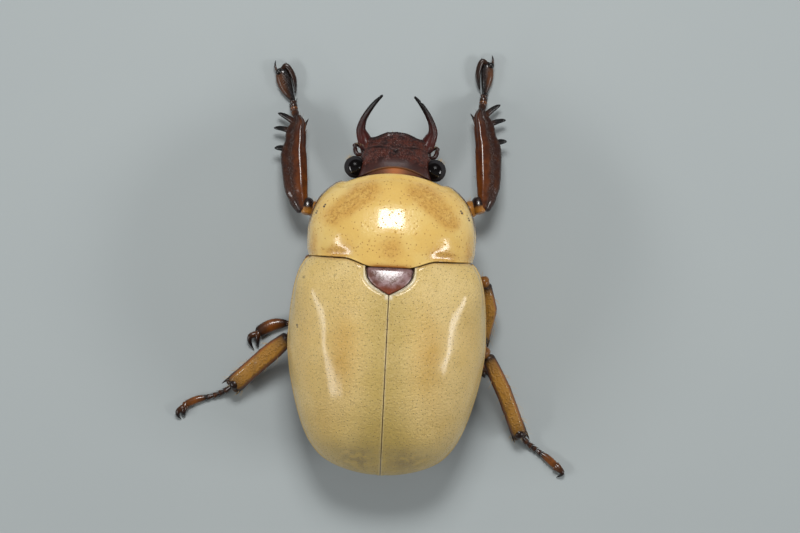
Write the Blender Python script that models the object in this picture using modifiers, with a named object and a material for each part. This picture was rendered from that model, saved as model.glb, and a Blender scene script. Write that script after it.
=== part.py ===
"""A male leaf chafer with long sickle jaws, life size, standing on its six feet.

The body is modelled in its own frame: the middle plane of the beetle is x = 0, the waist between
the pronotum and the wing cases is y = 0, the floor is z = 0 and the head points along -Y. The
beetle's left side is +X. An empty then moves the whole animal so that the middle of its
outermost extents, claws and all, stands over the world's origin.

Tables are in millimetres, and MM turns them into Blender's metres.
"""

import math
from dataclasses import dataclass

import bmesh
import bpy
import numpy as np
from mathutils import Vector

MM = 0.001
CUT_MERGE = 1e-9
WELD = 0.002 * MM

# Where the body's middle plane and waist stand in the world
MIDDLE_X = -0.874 * MM
WAIST_Y = 0.421 * MM

# Clearances and wall thickness
GAP = 0.25 * MM
ELYTRON_WALL = 0.6 * MM
CORE_INSET = ELYTRON_WALL + 1.4 * GAP

# Pronotum: how far ahead of the waist its margins lie, and its profile against the side's own place
PRONOTUM_FRONT = 6.67
PRONOTUM_FRONT_BOW = 0.60
PRONOTUM_FRONT_HALF = 3.9
PRONOTUM_SIDE_REAR = 0.5
PRONOTUM_SIDE_FRONT = 6.07
WAIST_LOBE = -0.05
WAIST_LOBE_HALF = 1.2
WAIST_CORNER_HALF = 3.4
PRONOTUM_HALF_WIDTH = (
    (0.5, 5.85), (1.2, 6.03), (2.3, 6.06), (3.4, 5.92), (4.6, 5.47), (5.45, 4.76), (6.07, 3.9),
)
PRONOTUM_CROWN = ((0.5, 9.75), (2.2, 9.8), (3.8, 9.35), (5.2, 8.45), (6.07, 7.45))
PRONOTUM_MARGIN = ((0.5, 5.2), (3.3, 4.9), (6.07, 5.3))
PRONOTUM_UNDER = ((0.5, 2.6), (3.3, 2.5), (6.07, 3.6))
PRONOTUM_ROWS = 12
PRONOTUM_SIDES = 32

# Wing cases: profile against the turn, in degrees, whose sine is the share of the length
ELYTRON_APEX = -15.1
ELYTRON_LAST_TURN = 87.0
ELYTRON_HALF_WIDTH = (
    (0, 5.85), (3, 6.45), (9, 6.87), (16, 7.06), (23, 7.12), (30, 6.95),
    (44, 6.25), (56, 5.42), (65, 4.5), (73, 3.35), (82, 1.65), (90, 0.0),
)
ELYTRON_CROWN = (
    (0, 9.75), (12, 10.15), (24, 10.15), (37, 9.6), (52.5, 8.3), (67, 6.5), (78, 5.4), (90, 4.5),
)
ELYTRON_MARGIN = ((0, 5.6), (9, 4.9), (23, 4.3), (44, 4.15), (70, 4.2), (90, 4.3))
ELYTRON_ROUNDNESS = 2.25
ELYTRON_ROWS = 15
ELYTRON_COLUMNS = 10
SHOULDER_BUMP = 0.22
SHOULDER_PLACE = (4.9, -1.6)
SHOULDER_REACH = 1.3

# The body under the wing cases, from the same turn
CORE_FRONT = -0.2
CORE_APEX = -14.05
CORE_LAST_TURN = 80.0
CORE_UNDER = (
    (0, 3.1), (6, 2.2), (15, 1.9), (25, 1.9), (37, 2.0),
    (47, 2.2), (57, 2.5), (67, 2.9), (74, 3.4), (80, 4.2),
)
CORE_LEAST_RISE = 0.35
CORE_SIDES = 24
THORAX_REAR_TURN = 22.0
THORAX_ROWS = 8
STERNITE_TURNS = (22.0, 28.0, 34.0, 40.5, 47.5, 55.5, 65.0)
STERNITE_STEP = 0.14
STERNITE_EDGE_TURN = 1.1
PYGIDIUM_PLANE = (0.9, 0.436, 9.75)

# Scutellum
SCUTELLUM_HALF = 1.7
SCUTELLUM_LENGTH = 1.95
SCUTELLUM_CURVE = 2.8
SCUTELLUM_TOP = 9.95
SCUTELLUM_THICK = 0.6
SCUTELLUM_SHARES = (0.0, 0.18, 0.36, 0.54, 0.7, 0.83, 0.93, 0.985)
SCUTELLUM_SIDES = 16

# Head: profile against the share of its length from the rear
HEAD_SHARES = (0, 0.12, 0.25, 0.38, 0.5, 0.62, 0.74, 0.85, 0.94, 1)
HEAD_SIDES = 28
CLYPEUS_FRONT = 9.86
CLYPEUS_BOW = 0.56
CLYPEUS_BOW_HALF = 1.64
HEAD_HALF_WIDTH = ((0, 2.75), (0.35, 2.75), (0.6, 2.55), (0.8, 2.32), (0.9, 2.08), (1, 1.72))
HEAD_CROWN = ((0, 7.2), (0.25, 7.05), (0.5, 6.6), (0.75, 6.0), (1, 5.35))
HEAD_MARGIN = ((0, 5.4), (0.5, 5.1), (1, 4.95))
HEAD_UNDER = ((0, 3.7), (0.5, 3.7), (0.8, 4.0), (1, 4.5))
EYE_CENTRE = (2.92, 7.19, 5.6)
EYE_RADII = (0.75, 0.66, 0.8)

# Jaws, feelers and palps: place out from the middle, ahead of the waist and up, then width and height
JAW = (
    (2.2, 8.55, 4.5, 1.0, 1.1),
    (2.45, 9.2, 4.5, 1.0, 1.0),
    (2.6, 9.9, 4.6, 0.72, 0.8),
    (2.45, 10.6, 4.9, 0.52, 0.6),
    (2.0, 11.4, 5.45, 0.38, 0.42),
    (1.15, 12.34, 6.15, 0.12, 0.12),
)
FEELER_STALK = (
    (2.5, 7.9, 4.5, 0.55, 0.55),
    (2.98, 8.2, 4.55, 0.5, 0.5),
    (3.05, 8.55, 4.3, 0.5, 0.5),
    (2.85, 8.75, 3.75, 0.5, 0.5),
    (2.5, 8.6, 3.25, 0.55, 0.55),
)
FEELER_LEAF_ROOT = (2.45, 8.6, 3.05)
FEELER_LEAF_TIP = (1.7, 7.0, 2.55)
FEELER_LEAF_SIZES = ((0.6, 0.5), (0.5, 0.62), (0.25, 0.3))
FEELER_LEAF_SPREAD = 0.42
FEELER_LEAVES = 3
MENTUM_CENTRE = (0.0, 8.0, 3.15)
MENTUM_RADII = (1.2, 1.0, 0.55)
PALP = (
    (0.8, 8.4, 3.1, 0.5, 0.5),
    (1.15, 8.85, 2.95, 0.5, 0.5),
    (1.3, 9.25, 2.75, 0.5, 0.5),
    (1.2, 9.45, 2.4, 0.5, 0.5),
    (1.05, 9.4, 2.1, 0.3, 0.3),
)

LIMB_SIDES = 10
FINE_SIDES = 8
THORN_SIDES = 6
THORN_TIP = 0.08
CAP_SHARE = 0.45
CAP_SIZE = 0.6
SHARP_TURN = 40

# Thigh: share from hip to knee, width in shares of the leg's, and height
KNEE = 0.95
FEMUR = ((0, 0.7, 0.85), (0.3, 0.95, 1.0), (0.62, 1.0, 1.1), (0.88, 0.66, 0.95))

# Front shin: share from knee to ankle, how far outwards its middle lies, width and height
DIGGING_SHIN = (
    (0.08, 0.46, 1.4, 0.85), (0.23, 0.55, 1.76, 1.0), (0.46, 0.54, 1.92, 1.0), (0.615, 0.5, 1.95, 0.95),
    (0.72, 0.26, 1.53, 0.9), (0.84, 0.17, 1.41, 0.85), (0.95, -0.02, 1.0, 0.78), (1.0, 0.0, 0.8, 0.7),
)
# Its teeth: share and outward place of the root and of the tip, and thickness
TEETH = ((0.665, 0.75, 0.694, 1.72, 0.6), (0.872, 0.3, 0.928, 1.68, 0.55), (0.965, 0.1, 1.085, 1.27, 0.55))
TOOTH_DROOP = 0.35
TOOTH_BOW = 0.06
DIGGING_SPUR = (0.9, -0.3, 1.005, -0.82, 0.42)

# Middle and hind shins: width in shares of the leg's, and height, then the spurs at the end
WALKING_SHIN = ((0.75, 0.8), (0.9, 0.85), (1.0, 0.95), (1.03, 0.98), (1.06, 1.0))
SHIN_SPURS = ((-0.45, 0.7, 0.4), (0.45, 0.5, 0.38))
SPUR_SPREAD = 1.15

# Feet: clear length before the first bead, a bead as (share, width, height), the claw joint and claws
FOOT_CLEAR = 0.5
BEAD = ((0.05, 0.42, 0.42), (0.75, 0.58, 0.56))
CLAW_JOINT_START = 0.44
CLAW_JOINT = ((0.2, 0.74, 0.82), (0.45, 0.98, 1.0), (0.8, 0.98, 1.0), (1.0, 0.74, 0.8))
CLAW_THICK = 0.42
CLAW_TIP_HEIGHT = 0.1
CLAW_SPREAD = 0.2
FOLDED_CLAW_THICK = 0.55


@dataclass(frozen=True)
class Leg:
    """One leg's pose: places are out from the middle, ahead of the waist and up from the floor."""

    side: int
    coxa: tuple
    coxa_radii: tuple
    hip: tuple
    knee: tuple
    ankle: tuple
    toes: tuple
    claw: tuple
    femur_width: float
    claw_joint: tuple
    arch: float
    shin: tuple = ()
    shin_width: float = 0.0

    @property
    def digging(self):
        """Whether the leg has a front leg's broad shin, which has no bend."""
        return not self.shin


FRONT_COXA = {"coxa": (1.75, 2.9, 2.35), "coxa_radii": (1.35, 0.95, 0.95), "hip": (2.3, 2.8, 1.75)}
MIDDLE_COXA = {"coxa": (2.1, -1.5, 1.75), "coxa_radii": (1.35, 0.85, 0.65), "hip": (2.6, -1.6, 1.35)}
HIND_COXA = {"coxa": (3.1, -4.75, 1.75), "coxa_radii": (2.7, 0.85, 0.6), "hip": (2.9, -5.2, 1.3)}
LEGS = {
    "front_left": Leg(
        side=1, **FRONT_COXA, knee=(6.4, 4.15, 2.75), ankle=(7.3, 10.4, 1.3),
        toes=((7.58, 11.05, 0.75), (7.7, 11.5, 0.42), (7.72, 11.85, 0.36), (8.68, 14.1, 0.34)),
        claw=(9.14, 14.76), femur_width=1.65, claw_joint=(1.04, 0.74), arch=0.15,
    ),
    "front_right": Leg(
        side=-1, **FRONT_COXA, knee=(6.35, 4.85, 2.75), ankle=(6.1, 11.5, 1.3),
        toes=((6.18, 12.15, 0.75), (6.22, 12.6, 0.42), (6.25, 12.95, 0.36), (6.38, 15.25, 0.34)),
        claw=(6.68, 15.91), femur_width=1.65, claw_joint=(1.0, 0.74), arch=0.08,
    ),
    "middle_left": Leg(
        side=1, **MIDDLE_COXA, knee=(6.05, 0.2, 3.1), shin=(5.8, -2.0, 2.1), ankle=(5.4, -4.0, 1.1),
        toes=((6.15, -4.42, 0.45), (6.9, -4.5, 0.28), (7.45, -4.5, 0.3), (9.5, -5.35, 0.34)),
        claw=(9.58, -6.5), femur_width=1.5, shin_width=0.95, claw_joint=(0.78, 0.68), arch=-0.22,
    ),
    "middle_right": Leg(
        side=-1, **MIDDLE_COXA, knee=(7.0, -0.75, 3.1), shin=(7.4, -2.9, 2.1), ankle=(7.35, -4.9, 1.1),
        toes=((7.1, -5.6, 0.45), (6.85, -6.1, 0.26), (6.75, -6.5, 0.26), (7.25, -7.25, 0.26)),
        claw=(7.6, -7.75), femur_width=1.5, shin_width=0.95, claw_joint=(0.58, 0.56), arch=0.0,
    ),
    "hind_left": Leg(
        side=1, **HIND_COXA, knee=(7.0, -5.35, 3.0), shin=(9.0, -7.2, 2.15), ankle=(10.95, -9.1, 1.1),
        toes=((11.7, -9.7, 0.45), (12.5, -10.06, 0.26), (13.0, -10.22, 0.26), (14.55, -10.86, 0.26)),
        claw=(14.78, -11.72), femur_width=2.0, shin_width=1.3, claw_joint=(0.56, 0.54), arch=-0.1,
    ),
    "hind_right": Leg(
        side=-1, **HIND_COXA, knee=(7.3, -5.95, 3.0), shin=(8.8, -8.9, 2.15), ankle=(10.0, -11.7, 1.1),
        toes=((10.66, -12.4, 0.45), (11.3, -12.86, 0.26), (11.68, -13.12, 0.26), (12.88, -14.05, 0.26)),
        claw=(13.06, -14.7), femur_width=2.0, shin_width=1.1, claw_joint=(0.56, 0.54), arch=-0.05,
    ),
}

# Colour, roughness and metallic value of each finish
FINISHES = {
    "wing_case": ((0.62, 0.47, 0.21), 0.35, 0.0),
    "pronotum": ((0.71, 0.47, 0.15), 0.3, 0.0),
    "scutellum": ((0.29, 0.09, 0.03), 0.25, 0.1),
    "head": ((0.055, 0.014, 0.01), 0.35, 0.0),
    "eye": ((0.008, 0.006, 0.006), 0.1, 0.0),
    "jaw": ((0.04, 0.01, 0.008), 0.3, 0.0),
    "feeler": ((0.12, 0.03, 0.012), 0.4, 0.0),
    "under": ((0.24, 0.11, 0.035), 0.4, 0.0),
    "front_leg": ((0.085, 0.02, 0.008), 0.28, 0.0),
    "tan_leg": ((0.3, 0.15, 0.04), 0.35, 0.0),
    "foot": ((0.09, 0.025, 0.01), 0.35, 0.0),
}


def at(side, out, ahead, up):
    """Body place in metres from millimetres out to one side, ahead of the waist and up from the floor."""
    return Vector((side * out, -ahead, up)) * MM


def eased(table, place):
    """Value of a smooth curve through (place, value) pairs, without overshoot between them."""
    places, values = (np.array(column, float) for column in zip(*table))
    slopes = np.diff(values) / np.diff(places)
    tangents = np.concatenate(([slopes[0]], np.zeros(len(slopes) - 1), [slopes[-1]]))
    for i in range(1, len(slopes)):
        if slopes[i - 1] * slopes[i] > 0:
            tangents[i] = 2 * slopes[i - 1] * slopes[i] / (slopes[i - 1] + slopes[i])
    i = int(np.clip(np.searchsorted(places, place) - 1, 0, len(slopes) - 1))
    span = places[i + 1] - places[i]
    t = float(np.clip((place - places[i]) / span, 0, 1))
    return float(
        values[i] * (1 + 2 * t) * (1 - t) ** 2
        + values[i + 1] * t * t * (3 - 2 * t)
        + span * tangents[i] * t * (1 - t) ** 2
        - span * tangents[i + 1] * t * t * (1 - t)
    )


def mixed(a, b, share):
    """The value that lies share of the way from a to b."""
    return a + (b - a) * share


def signed_power(value, power):
    """value raised to power, with its sign kept."""
    return math.copysign(abs(value) ** power, value)


def waist_line(out):
    """How far ahead of the waist the pronotum's hind margin lies: a wide lobe over the scutellum."""
    t = min(max((abs(out) - WAIST_LOBE_HALF) / (WAIST_CORNER_HALF - WAIST_LOBE_HALF), 0), 1)
    return mixed(WAIST_LOBE, PRONOTUM_SIDE_REAR, t * t * (3 - 2 * t))


def collar_line(out):
    """How far ahead of the waist the pronotum's front margin lies."""
    return PRONOTUM_FRONT - PRONOTUM_FRONT_BOW * (out / PRONOTUM_FRONT_HALF) ** 2


def clypeus_line(out):
    """How far ahead of the waist the front edge of the head lies."""
    return CLYPEUS_FRONT - CLYPEUS_BOW * (out / CLYPEUS_BOW_HALF) ** 2


def body_section(half_width, crown, margin, under, line, sides, roundness=(2.2, 1.7)):
    """One closed cross-section: a dome over the side margin and a keel under it, bowed along line."""
    ring = []
    for i in range(sides):
        turn = 2 * math.pi * i / sides
        above = math.cos(turn) >= 0
        power = 2 / roundness[0 if above else 1]
        out = half_width * signed_power(math.sin(turn), power)
        reach = crown - margin if above else margin - under
        up = margin + reach * signed_power(math.cos(turn), power)
        ring.append(at(1, out, line(out), up))
    return ring


def mesh_object(name, mesh):
    """A new object in the scene that holds a bmesh, with its faces pointing outwards."""
    bmesh.ops.recalc_face_normals(mesh, faces=mesh.faces)
    data = bpy.data.meshes.new(name)
    mesh.to_mesh(data)
    mesh.free()
    made = bpy.data.objects.new(name, data)
    bpy.context.scene.collection.objects.link(made)
    return made


def loft(name, rings):
    """A closed body through rings of points, each end closed by a fan over the ring's middle."""
    mesh = bmesh.new()
    rows = [[mesh.verts.new(point) for point in ring] for ring in rings]
    count = len(rows[0])
    for row, after in zip(rows, rows[1:]):
        for i in range(count):
            j = (i + 1) % count
            mesh.faces.new((row[i], row[j], after[j], after[i]))
    for row in (rows[0], rows[-1]):
        middle = mesh.verts.new(sum((v.co for v in row), Vector()) / count)
        for i in range(count):
            mesh.faces.new((row[i], row[(i + 1) % count], middle))
    return mesh_object(name, mesh)


def smooth_path(stations, steps):
    """Points of a Catmull-Rom curve through stations, each a tuple of numbers, steps to a span."""
    points = np.array(stations, float)
    padded = np.vstack((2 * points[0] - points[1], points, 2 * points[-1] - points[-2]))
    path = []
    for i in range(1, len(padded) - 2):
        a, b, c, d = padded[i - 1 : i + 3]
        for t in np.arange(steps) / steps:
            bend = (2 * a - 5 * b + 4 * c - d) * t**2 + (3 * b - a - 3 * c + d) * t**3
            path.append(b + ((c - a) * t + bend) / 2)
    path.append(points[-1])
    return np.array(path)


def sweep(name, side, stations, sides=LIMB_SIDES, steps=2, rounded=(True, True)):
    """A limb through stations of (out, ahead, up, width, height), with a smaller ring at each rounded end."""
    path = smooth_path(stations, steps)
    places = [at(side, *row[:3]) for row in path]
    rings = []
    across = None
    for i, (place, row) in enumerate(zip(places, path)):
        along = (places[min(i + 1, len(places) - 1)] - places[max(i - 1, 0)]).normalized()
        across = along.cross(Vector((0, 0, 1))) if across is None else across - along * across.dot(along)
        across = across.normalized()
        rise = across.cross(along)
        half_width, half_height = (value * MM / 2 for value in row[3:5])
        turns = [2 * math.pi * k / sides for k in range(sides)]
        rings.append(
            [place + across * half_width * math.cos(t) + rise * half_height * math.sin(t) for t in turns]
        )
    for end, inner, wanted in ((0, 1, rounded[0]), (-1, -2, rounded[1])):
        if wanted:
            outward = (places[end] - places[inner]).normalized()
            reach = min(path[end][3:5]) * MM / 2 * CAP_SHARE
            cap = [mixed(places[end], point, CAP_SIZE) + outward * reach for point in rings[end]]
            rings.insert(0 if end == 0 else len(rings), cap)
    return loft(name, rings)


def ellipsoid(name, side, centre, radii, segments=14, ring_count=10):
    """A closed ellipsoid at a body place, with its poles up and down."""
    mesh = bmesh.new()
    bmesh.ops.create_uvsphere(mesh, u_segments=segments, v_segments=ring_count, radius=1)
    bmesh.ops.scale(mesh, vec=Vector(radii) * MM, verts=mesh.verts)
    bmesh.ops.translate(mesh, vec=at(side, *centre), verts=mesh.verts)
    return mesh_object(name, mesh)


def thorn(name, side, root, tip, width, bend=(0, 0, 0)):
    """A tapered spine from root to tip, bowed by bend at its middle."""
    root, tip, bend = (np.array(v, float) for v in (root, tip, bend))
    middle = mixed(root, tip, 0.55) + bend
    stations = [(*root, width, width), (*middle, width * 0.7, width * 0.7), (*tip, THORN_TIP, THORN_TIP)]
    return sweep(name, side, stations, sides=THORN_SIDES, steps=2, rounded=(False, False))


def baked(obj):
    """Applies an object's modifiers to its mesh."""
    bpy.context.view_layer.update()
    graph = bpy.context.evaluated_depsgraph_get()
    data = bpy.data.meshes.new_from_object(obj.evaluated_get(graph))
    obj.modifiers.clear()
    obj.data = data
    return obj


def keep_largest_surface(obj):
    """Drops every closed surface of a mesh but the one with the most volume."""
    mesh = bmesh.new()
    mesh.from_mesh(obj.data)
    bmesh.ops.remove_doubles(mesh, verts=mesh.verts, dist=WELD)
    left = set(mesh.faces)
    surfaces = []
    while left:
        found = {left.pop()}
        edge = list(found)
        while edge:
            for side in edge.pop().edges:
                for face in side.link_faces:
                    if face in left:
                        left.discard(face)
                        found.add(face)
                        edge.append(face)
        surfaces.append(found)

    def volume(faces):
        """Six times the volume that closed faces hold."""
        total = 0.0
        for face in faces:
            first, *rest = (vertex.co for vertex in face.verts)
            total += sum(first.dot(a.cross(b)) for a, b in zip(rest, rest[1:]))
        return abs(total)

    largest = max(surfaces, key=volume)
    spare = [face for surface in surfaces if surface is not largest for face in surface]
    bmesh.ops.delete(mesh, geom=spare, context="FACES")
    mesh.to_mesh(obj.data)
    mesh.free()
    return obj


def fused(name, pieces):
    """One closed body from pieces that overlap, by a Boolean union on the collection that holds them."""
    whole = pieces[0]
    whole.name = name
    rest = bpy.data.collections.new(name + "_pieces")
    bpy.context.scene.collection.children.link(rest)
    for piece in pieces[1:]:
        bpy.context.scene.collection.objects.unlink(piece)
        rest.objects.link(piece)
    join = whole.modifiers.new("join", "BOOLEAN")
    join.operation = "UNION"
    join.solver = "EXACT"
    join.operand_type = "COLLECTION"
    join.collection = rest
    baked(whole)
    for piece in list(rest.objects):
        bpy.data.objects.remove(piece)
    bpy.data.collections.remove(rest)
    return keep_largest_surface(whole)


def trimmed(obj, neighbours, gap=GAP):
    """Cuts an object back from its neighbours, each grown by the gap that touching pieces keep."""
    for neighbour in neighbours:
        grown = neighbour.copy()
        grown.data = neighbour.data.copy()
        bpy.context.scene.collection.objects.link(grown)
        normals = [v.normal.copy() for v in grown.data.vertices]
        for vertex, normal in zip(grown.data.vertices, normals):
            vertex.co += normal * gap
        cut = obj.modifiers.new("clearance", "BOOLEAN")
        cut.operation = "DIFFERENCE"
        cut.solver = "EXACT"
        cut.object = grown
        baked(obj)
        bpy.data.objects.remove(grown)
    return keep_largest_surface(obj)


def sliced(obj, place, normal):
    """Keeps the part of a closed mesh on the far side of a plane from its normal, and closes the cut."""
    mesh = bmesh.new()
    mesh.from_mesh(obj.data)
    geometry = mesh.verts[:] + mesh.edges[:] + mesh.faces[:]
    cut = bmesh.ops.bisect_plane(
        mesh, geom=geometry, plane_co=place, plane_no=normal, clear_outer=True, dist=CUT_MERGE
    )
    rim = [item for item in cut["geom_cut"] if isinstance(item, bmesh.types.BMEdge)]
    bmesh.ops.holes_fill(mesh, edges=rim, sides=0)
    bmesh.ops.recalc_face_normals(mesh, faces=mesh.faces)
    mesh.to_mesh(obj.data)
    mesh.free()
    return obj


def pronotum():
    """The prothorax: its broad shield above and the chest between the front legs below."""
    rings = []
    for share in np.linspace(0, 1, PRONOTUM_ROWS):
        place = mixed(PRONOTUM_SIDE_REAR, PRONOTUM_SIDE_FRONT, share)
        rings.append(
            body_section(
                eased(PRONOTUM_HALF_WIDTH, place),
                eased(PRONOTUM_CROWN, place),
                eased(PRONOTUM_MARGIN, place),
                eased(PRONOTUM_UNDER, place),
                lambda out, share=share: mixed(waist_line(out), collar_line(out), share),
                sides=PRONOTUM_SIDES,
            )
        )
    return loft("pronotum", rings)


def elytron(side):
    """One wing case: an open domed surface with a wall, from the shoulder to the rounded tip."""
    mesh = bmesh.new()
    rows = []
    for turn in np.linspace(0, ELYTRON_LAST_TURN, ELYTRON_ROWS):
        share = math.sin(math.radians(turn))
        half_width = eased(ELYTRON_HALF_WIDTH, turn)
        crown, margin = eased(ELYTRON_CROWN, turn), eased(ELYTRON_MARGIN, turn)
        row = []
        for across in np.linspace(0, math.pi / 2, ELYTRON_COLUMNS):
            power = 2 / ELYTRON_ROUNDNESS
            seam = GAP / MM / 2
            out = seam + (half_width - seam) * math.sin(across) ** power
            up = margin + (crown - margin) * math.cos(across) ** power
            ahead = mixed(waist_line(out) - GAP / MM, ELYTRON_APEX, share)
            offset = math.dist((out, ahead), SHOULDER_PLACE) / SHOULDER_REACH
            up += SHOULDER_BUMP * math.exp(-(offset**2))
            row.append(mesh.verts.new(at(side, out, ahead, up)))
        rows.append(row)
    for row, after in zip(rows, rows[1:]):
        for i in range(len(row) - 1):
            corners = (row[i], row[i + 1], after[i + 1], after[i])
            mesh.faces.new(corners if side > 0 else corners[::-1])
    data = bpy.data.meshes.new("elytron")
    mesh.to_mesh(data)
    mesh.free()
    made = bpy.data.objects.new("elytron_left" if side > 0 else "elytron_right", data)
    bpy.context.scene.collection.objects.link(made)
    wall = made.modifiers.new("wall", "SOLIDIFY")
    wall.thickness = ELYTRON_WALL
    wall.offset = -1
    return baked(made)


def core_section(turn, step=0.0):
    """A cross-section of the body under the wing cases at a turn, its underside lowered by step."""
    share = math.sin(math.radians(turn))
    keep = 1 - CORE_INSET / MM / max(width for _, width in ELYTRON_HALF_WIDTH)
    margin = eased(ELYTRON_MARGIN, turn)
    crown = max(eased(ELYTRON_CROWN, turn) - CORE_INSET / MM, margin + CORE_LEAST_RISE)
    half_width = eased(ELYTRON_HALF_WIDTH, turn) * keep
    return body_section(
        half_width + step * 0.5,
        crown,
        margin,
        eased(CORE_UNDER, turn) - step,
        lambda out: mixed(waist_line(out) + CORE_FRONT - GAP / MM, CORE_APEX, share),
        sides=CORE_SIDES,
        roundness=(ELYTRON_ROUNDNESS, 2.0),
    )


def thorax():
    """The middle and hind thorax, whose underside carries the middle and hind legs."""
    half_gap = math.degrees(GAP / MM / 2 / abs(CORE_APEX))
    turns = np.linspace(0, THORAX_REAR_TURN - half_gap, THORAX_ROWS)
    return loft("thorax", [core_section(turn) for turn in turns])


def abdomen_and_pygidium():
    """The belly's stepped plates, and the shield that closes its rear under the wing cases' tips."""
    half_gap = math.degrees(GAP / MM / 2 / abs(CORE_APEX))
    edges = [*STERNITE_TURNS, CORE_LAST_TURN]
    edges[0] += half_gap
    rings = []
    for start, end in zip(edges, edges[1:]):
        last = end == edges[-1]
        rings.append(core_section(start))
        rings.append(core_section(mixed(start, end, 0.5), STERNITE_STEP * 0.5))
        rings.append(core_section(end) if last else core_section(end - STERNITE_EDGE_TURN, STERNITE_STEP))
    whole = loft("abdomen", rings)
    rear = whole.copy()
    rear.data = whole.data.copy()
    rear.name = "pygidium"
    bpy.context.scene.collection.objects.link(rear)
    back, down, distance = PYGIDIUM_PLANE
    normal = Vector((0, back, -down)).normalized()
    place = normal * distance * MM
    sliced(whole, place - normal * GAP / 2, normal)
    sliced(rear, place + normal * GAP / 2, -normal)
    return whole, rear


def scutellum():
    """The small shield between the bases of the wing cases, with convex sides and a blunt tip."""
    rings = []
    for share in SCUTELLUM_SHARES:
        ahead = WAIST_LOBE - GAP / MM - SCUTELLUM_LENGTH * share
        rings.append(
            body_section(
                SCUTELLUM_HALF * (1 - share**SCUTELLUM_CURVE),
                SCUTELLUM_TOP,
                SCUTELLUM_TOP - SCUTELLUM_THICK / 2,
                SCUTELLUM_TOP - SCUTELLUM_THICK,
                lambda out, ahead=ahead: ahead,
                sides=SCUTELLUM_SIDES,
                roundness=(3, 3),
            )
        )
    return loft("scutellum", rings)


def head(eyes):
    """The head capsule out to the rounded clypeus, with sockets that the eyes sit in."""
    rings = []
    for share in HEAD_SHARES:
        rings.append(
            body_section(
                eased(HEAD_HALF_WIDTH, share),
                eased(HEAD_CROWN, share),
                eased(HEAD_MARGIN, share),
                eased(HEAD_UNDER, share),
                lambda out, share=share: mixed(collar_line(out) + GAP / MM, clypeus_line(out), share),
                sides=HEAD_SIDES,
                roundness=(2.3, 2.0),
            )
        )
    return trimmed(loft("head", rings), eyes)


def feeler(side, name):
    """An antenna: the curved stalk in front of the eye and the leaves of its club under the cheek."""
    pieces = [sweep(name, side, FEELER_STALK, sides=FINE_SIDES)]
    root, tip = (np.array(v, float) for v in (FEELER_LEAF_ROOT, FEELER_LEAF_TIP))
    for leaf in range(FEELER_LEAVES):
        aside = (leaf - (FEELER_LEAVES - 1) / 2) * FEELER_LEAF_SPREAD
        end = tip + (aside * 1.1, 0, -0.12 * aside)
        middle = mixed(root, end, 0.6) + (aside * 0.25, 0, 0)
        places = zip((root, middle, end), FEELER_LEAF_SIZES)
        stations = [(*place, *size) for place, size in places]
        pieces.append(sweep("leaf", side, stations, sides=FINE_SIDES))
    return fused(name, pieces)


def mouthparts():
    """The chin plate under the head with a palp on each side."""
    pieces = [ellipsoid("mouthparts", 1, MENTUM_CENTRE, MENTUM_RADII, segments=16, ring_count=8)]
    pieces += [sweep("palp", side, PALP, sides=FINE_SIDES, steps=1) for side in (1, -1)]
    return fused("mouthparts", pieces)


def femur(name, leg):
    """A thigh that swells in the middle and ends in a ball at the knee."""
    hip, knee = (np.array(v, float) for v in (leg.hip, leg.knee))
    stations = [(*mixed(hip, knee, share), leg.femur_width * wide, tall) for share, wide, tall in FEMUR]
    return sweep(name, leg.side, [*stations, (*knee, KNEE, KNEE)])


def limb_axes(start, stop):
    """Unit vectors along a limb from start to stop, and level across it away from the body's middle."""
    along = (stop - start) / np.linalg.norm(stop - start)
    across = np.array((along[1], -along[0], 0.0))
    return along, across / np.linalg.norm(across)


def digging_tibia(name, leg):
    """A front shin: broad and flat, with three black teeth on its outer edge and a spur inside."""
    knee, ankle = (np.array(v, float) for v in (leg.knee, leg.ankle))
    along, out = limb_axes(knee, ankle)

    def on_shin(share, aside):
        """The place at a share from knee to ankle, so far outwards."""
        return mixed(knee, ankle, share) + out * aside

    stations = [(*on_shin(share, aside), *size) for share, aside, *size in DIGGING_SHIN]
    pieces = [sweep(name, leg.side, stations)]
    for root_share, root_out, tip_share, tip_out, thick in TEETH:
        tip = on_shin(tip_share, tip_out)
        tip[2] -= TOOTH_DROOP
        pieces.append(thorn("tooth", leg.side, on_shin(root_share, root_out), tip, thick, -along * TOOTH_BOW))
    root_share, root_out, tip_share, tip_out, thick = DIGGING_SPUR
    pieces.append(thorn("spur", leg.side, on_shin(root_share, root_out), on_shin(tip_share, tip_out), thick))
    return fused(name, pieces)


def walking_tibia(name, leg):
    """A middle or hind shin: a rod that widens to a rim of spurs round the foot's root."""
    knee, shin, ankle = (np.array(v, float) for v in (leg.knee, leg.shin, leg.ankle))
    along, out = limb_axes(shin, ankle)
    width = leg.shin_width
    top = knee + limb_axes(knee, shin)[0] * KNEE / 2
    places = (top, mixed(knee, shin, 0.6), shin, mixed(shin, ankle, 0.75), ankle)
    stations = [(*place, width * wide, tall) for place, (wide, tall) in zip(places, WALKING_SHIN)]
    pieces = [sweep(name, leg.side, stations)]
    for aside, reach, thick in SHIN_SPURS:
        root = ankle + out * aside * width - along * thick / 2
        tip = ankle + out * aside * width * SPUR_SPREAD + along * reach
        pieces.append(thorn("spur", leg.side, root, tip, thick))
    return fused(name, pieces)


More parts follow.
